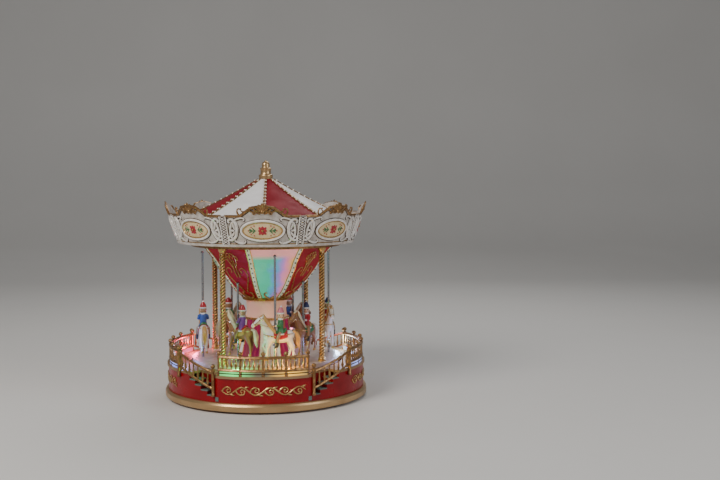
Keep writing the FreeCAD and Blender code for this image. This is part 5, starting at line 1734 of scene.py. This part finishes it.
class CAROUSEL_OT_horses(bpy.types.Operator):
    """Build the eight horses with their riders on the poles"""

    bl_idname = "carousel.horses"
    bl_label = "Horses"

    def execute(self, context):
        parts = figure_parts()
        for index in range(HORSE_COUNT):
            form = Form()
            for role, shapes in parts:
                for shape in shapes:
                    form.add(placed_figure(shape, index), figure_finish(role, index))
            number = "%d" % (index + 1)
            body, pole = "rider_" + number, "pole_" + number
            new_piece("rider_figure_" + number, form, body, ["horse_" + number], SOFT_CREASE)
            new_piece("steel_" + pole, pole_form(pole), body, [pole])
        return {"FINISHED"}


class CAROUSEL_OT_works(bpy.types.Operator):
    """Finish the drive, the cam and the electrics inside the base"""

    bl_idname = "carousel.works"
    bl_label = "Works"

    def execute(self, context):
        node_finish(look("pole_steel"), "central_post", "motor", "idler_shaft")
        node_finish(look("natural_moulding"), "cam_ring", "thrust_washer", "turntable_gear",
                    "reduction_gear", "motor_pinion")
        node_finish(look("board_green"), "circuit_board")
        node_finish(look("black_moulding"), "speaker")
        return {"FINISHED"}


def area_light(name, place, aim, size, power, colour):
    light = bpy.data.lights.new(name, "AREA")
    light.shape = "DISK"
    light.size = size
    light.energy = power
    light.color = colour
    lamp = linked(name, light)
    lamp.location = place
    lamp.rotation_euler = (Vector(aim) - Vector(place)).to_track_quat("-Z", "Y").to_euler()


# Lights in metres: name, place, aim, size, power and colour
STUDIO_LIGHTS = (
    ("key", (-0.75, -0.95, 1.05), (0, 0, 0.14), 0.7, 15.0, (1.0, 0.97, 0.93)),
    ("fill", (1.1, -0.8, 0.6), (0, 0, 0.14), 0.9, 5.0, (0.95, 0.97, 1.0)),
    ("back", (0.3, 0.9, 1.1), (0, 0, 0.2), 0.8, 4.0, (1.0, 1.0, 1.0)),
)
WORLD_COLOUR = (0.9, 0.92, 0.95)
WORLD_STRENGTH = 0.22
# Half width of the sheet, and its side view from the front of the floor up the wall
SHEET_HALF = 4000.0
SHEET_LINE = ((-3000.0, 0.0), (1400.0, 0.0), (1900.0, 60.0), (2250.0, 260.0), (2420.0, 620.0),
              (2450.0, 3000.0))
SHEET_CREASE = 60.0
# The camera's place, the angles that it looks down and aside, and its lens
CAMERA_AZIMUTH = 2.0
CAMERA_DISTANCE = 1250.0
CAMERA_HEIGHT = 266.0
CAMERA_PITCH = 3.41
CAMERA_ASIDE = 5.37
CAMERA_LENS = 50.0
SENSOR_WIDTH = 36.0


class CAROUSEL_OT_stage(bpy.types.Operator):
    """Set the pale floor, the soft studio light and the camera"""

    bl_idname = "carousel.stage"
    bl_label = "Stage"

    def execute(self, context):
        verts = [(x, y, z) for y, z in SHEET_LINE for x in (-SHEET_HALF, SHEET_HALF)]
        faces = [(k, k + 1, k + 3, k + 2) for k in range(0, len(verts) - 2, 2)]
        sheet = Form().add((verts, faces), look("pale_sheet"))
        floor = linked("floor", new_mesh("floor", sheet, SHEET_CREASE))
        for light in STUDIO_LIGHTS:
            area_light(*light)
        world = bpy.data.worlds.new("studio")
        world.use_nodes = True
        sky = world.node_tree.nodes["Background"].inputs
        sky["Color"].default_value = rgba(WORLD_COLOUR)
        sky["Strength"].default_value = WORLD_STRENGTH
        context.scene.world = world
        lens = bpy.data.cameras.new("camera")
        lens.lens = CAMERA_LENS
        lens.sensor_width = SENSOR_WIDTH
        camera = linked("camera", lens)
        camera.location = polar(CAMERA_DISTANCE, CAMERA_AZIMUTH, CAMERA_HEIGHT) * MM
        camera.rotation_euler = (
            math.radians(90.0 - CAMERA_PITCH), 0.0, math.radians(CAMERA_AZIMUTH - CAMERA_ASIDE))
        context.scene.camera = camera
        return {"FINISHED"}


OPERATORS = (CAROUSEL_OT_base, CAROUSEL_OT_fence, CAROUSEL_OT_stairs, CAROUSEL_OT_lamps,
             CAROUSEL_OT_columns, CAROUSEL_OT_centre, CAROUSEL_OT_cornice, CAROUSEL_OT_roof,
             CAROUSEL_OT_horses, CAROUSEL_OT_works, CAROUSEL_OT_stage)


class CAROUSEL_PT_pieces(bpy.types.Panel):
    """Sizes, colours and the pieces that can be built."""

    bl_idname = "CAROUSEL_PT_pieces"
    bl_label = "Carousel music box"
    bl_space_type = "VIEW_3D"
    bl_region_type = "UI"
    bl_category = "Carousel"

    def draw(self, context):
        for group in (sizes(), colours()):
            for name in group.__annotations__:
                self.layout.prop(group, name)
        for operator in OPERATORS:
            self.layout.operator(operator.bl_idname)


CLASSES = (CarouselSizes, CarouselColours, *OPERATORS, CAROUSEL_PT_pieces)


def register():
    for cls in CLASSES:
        bpy.utils.register_class(cls)
    bpy.types.Scene.carousel_sizes = bpy.props.PointerProperty(type=CarouselSizes)
    bpy.types.Scene.carousel_colours = bpy.props.PointerProperty(type=CarouselColours)


def unregister():
    del bpy.types.Scene.carousel_colours
    del bpy.types.Scene.carousel_sizes
    for cls in reversed(CLASSES):
        bpy.utils.unregister_class(cls)


def main():
    register()
    bpy.ops.carousel.base()
    bpy.ops.carousel.fence()
    bpy.ops.carousel.stairs()
    bpy.ops.carousel.lamps()
    bpy.ops.carousel.columns()
    bpy.ops.carousel.centre()
    bpy.ops.carousel.cornice()
    bpy.ops.carousel.roof()
    bpy.ops.carousel.horses()
    bpy.ops.carousel.works()
    bpy.ops.carousel.stage()


if __name__ == "__main__":
    main()
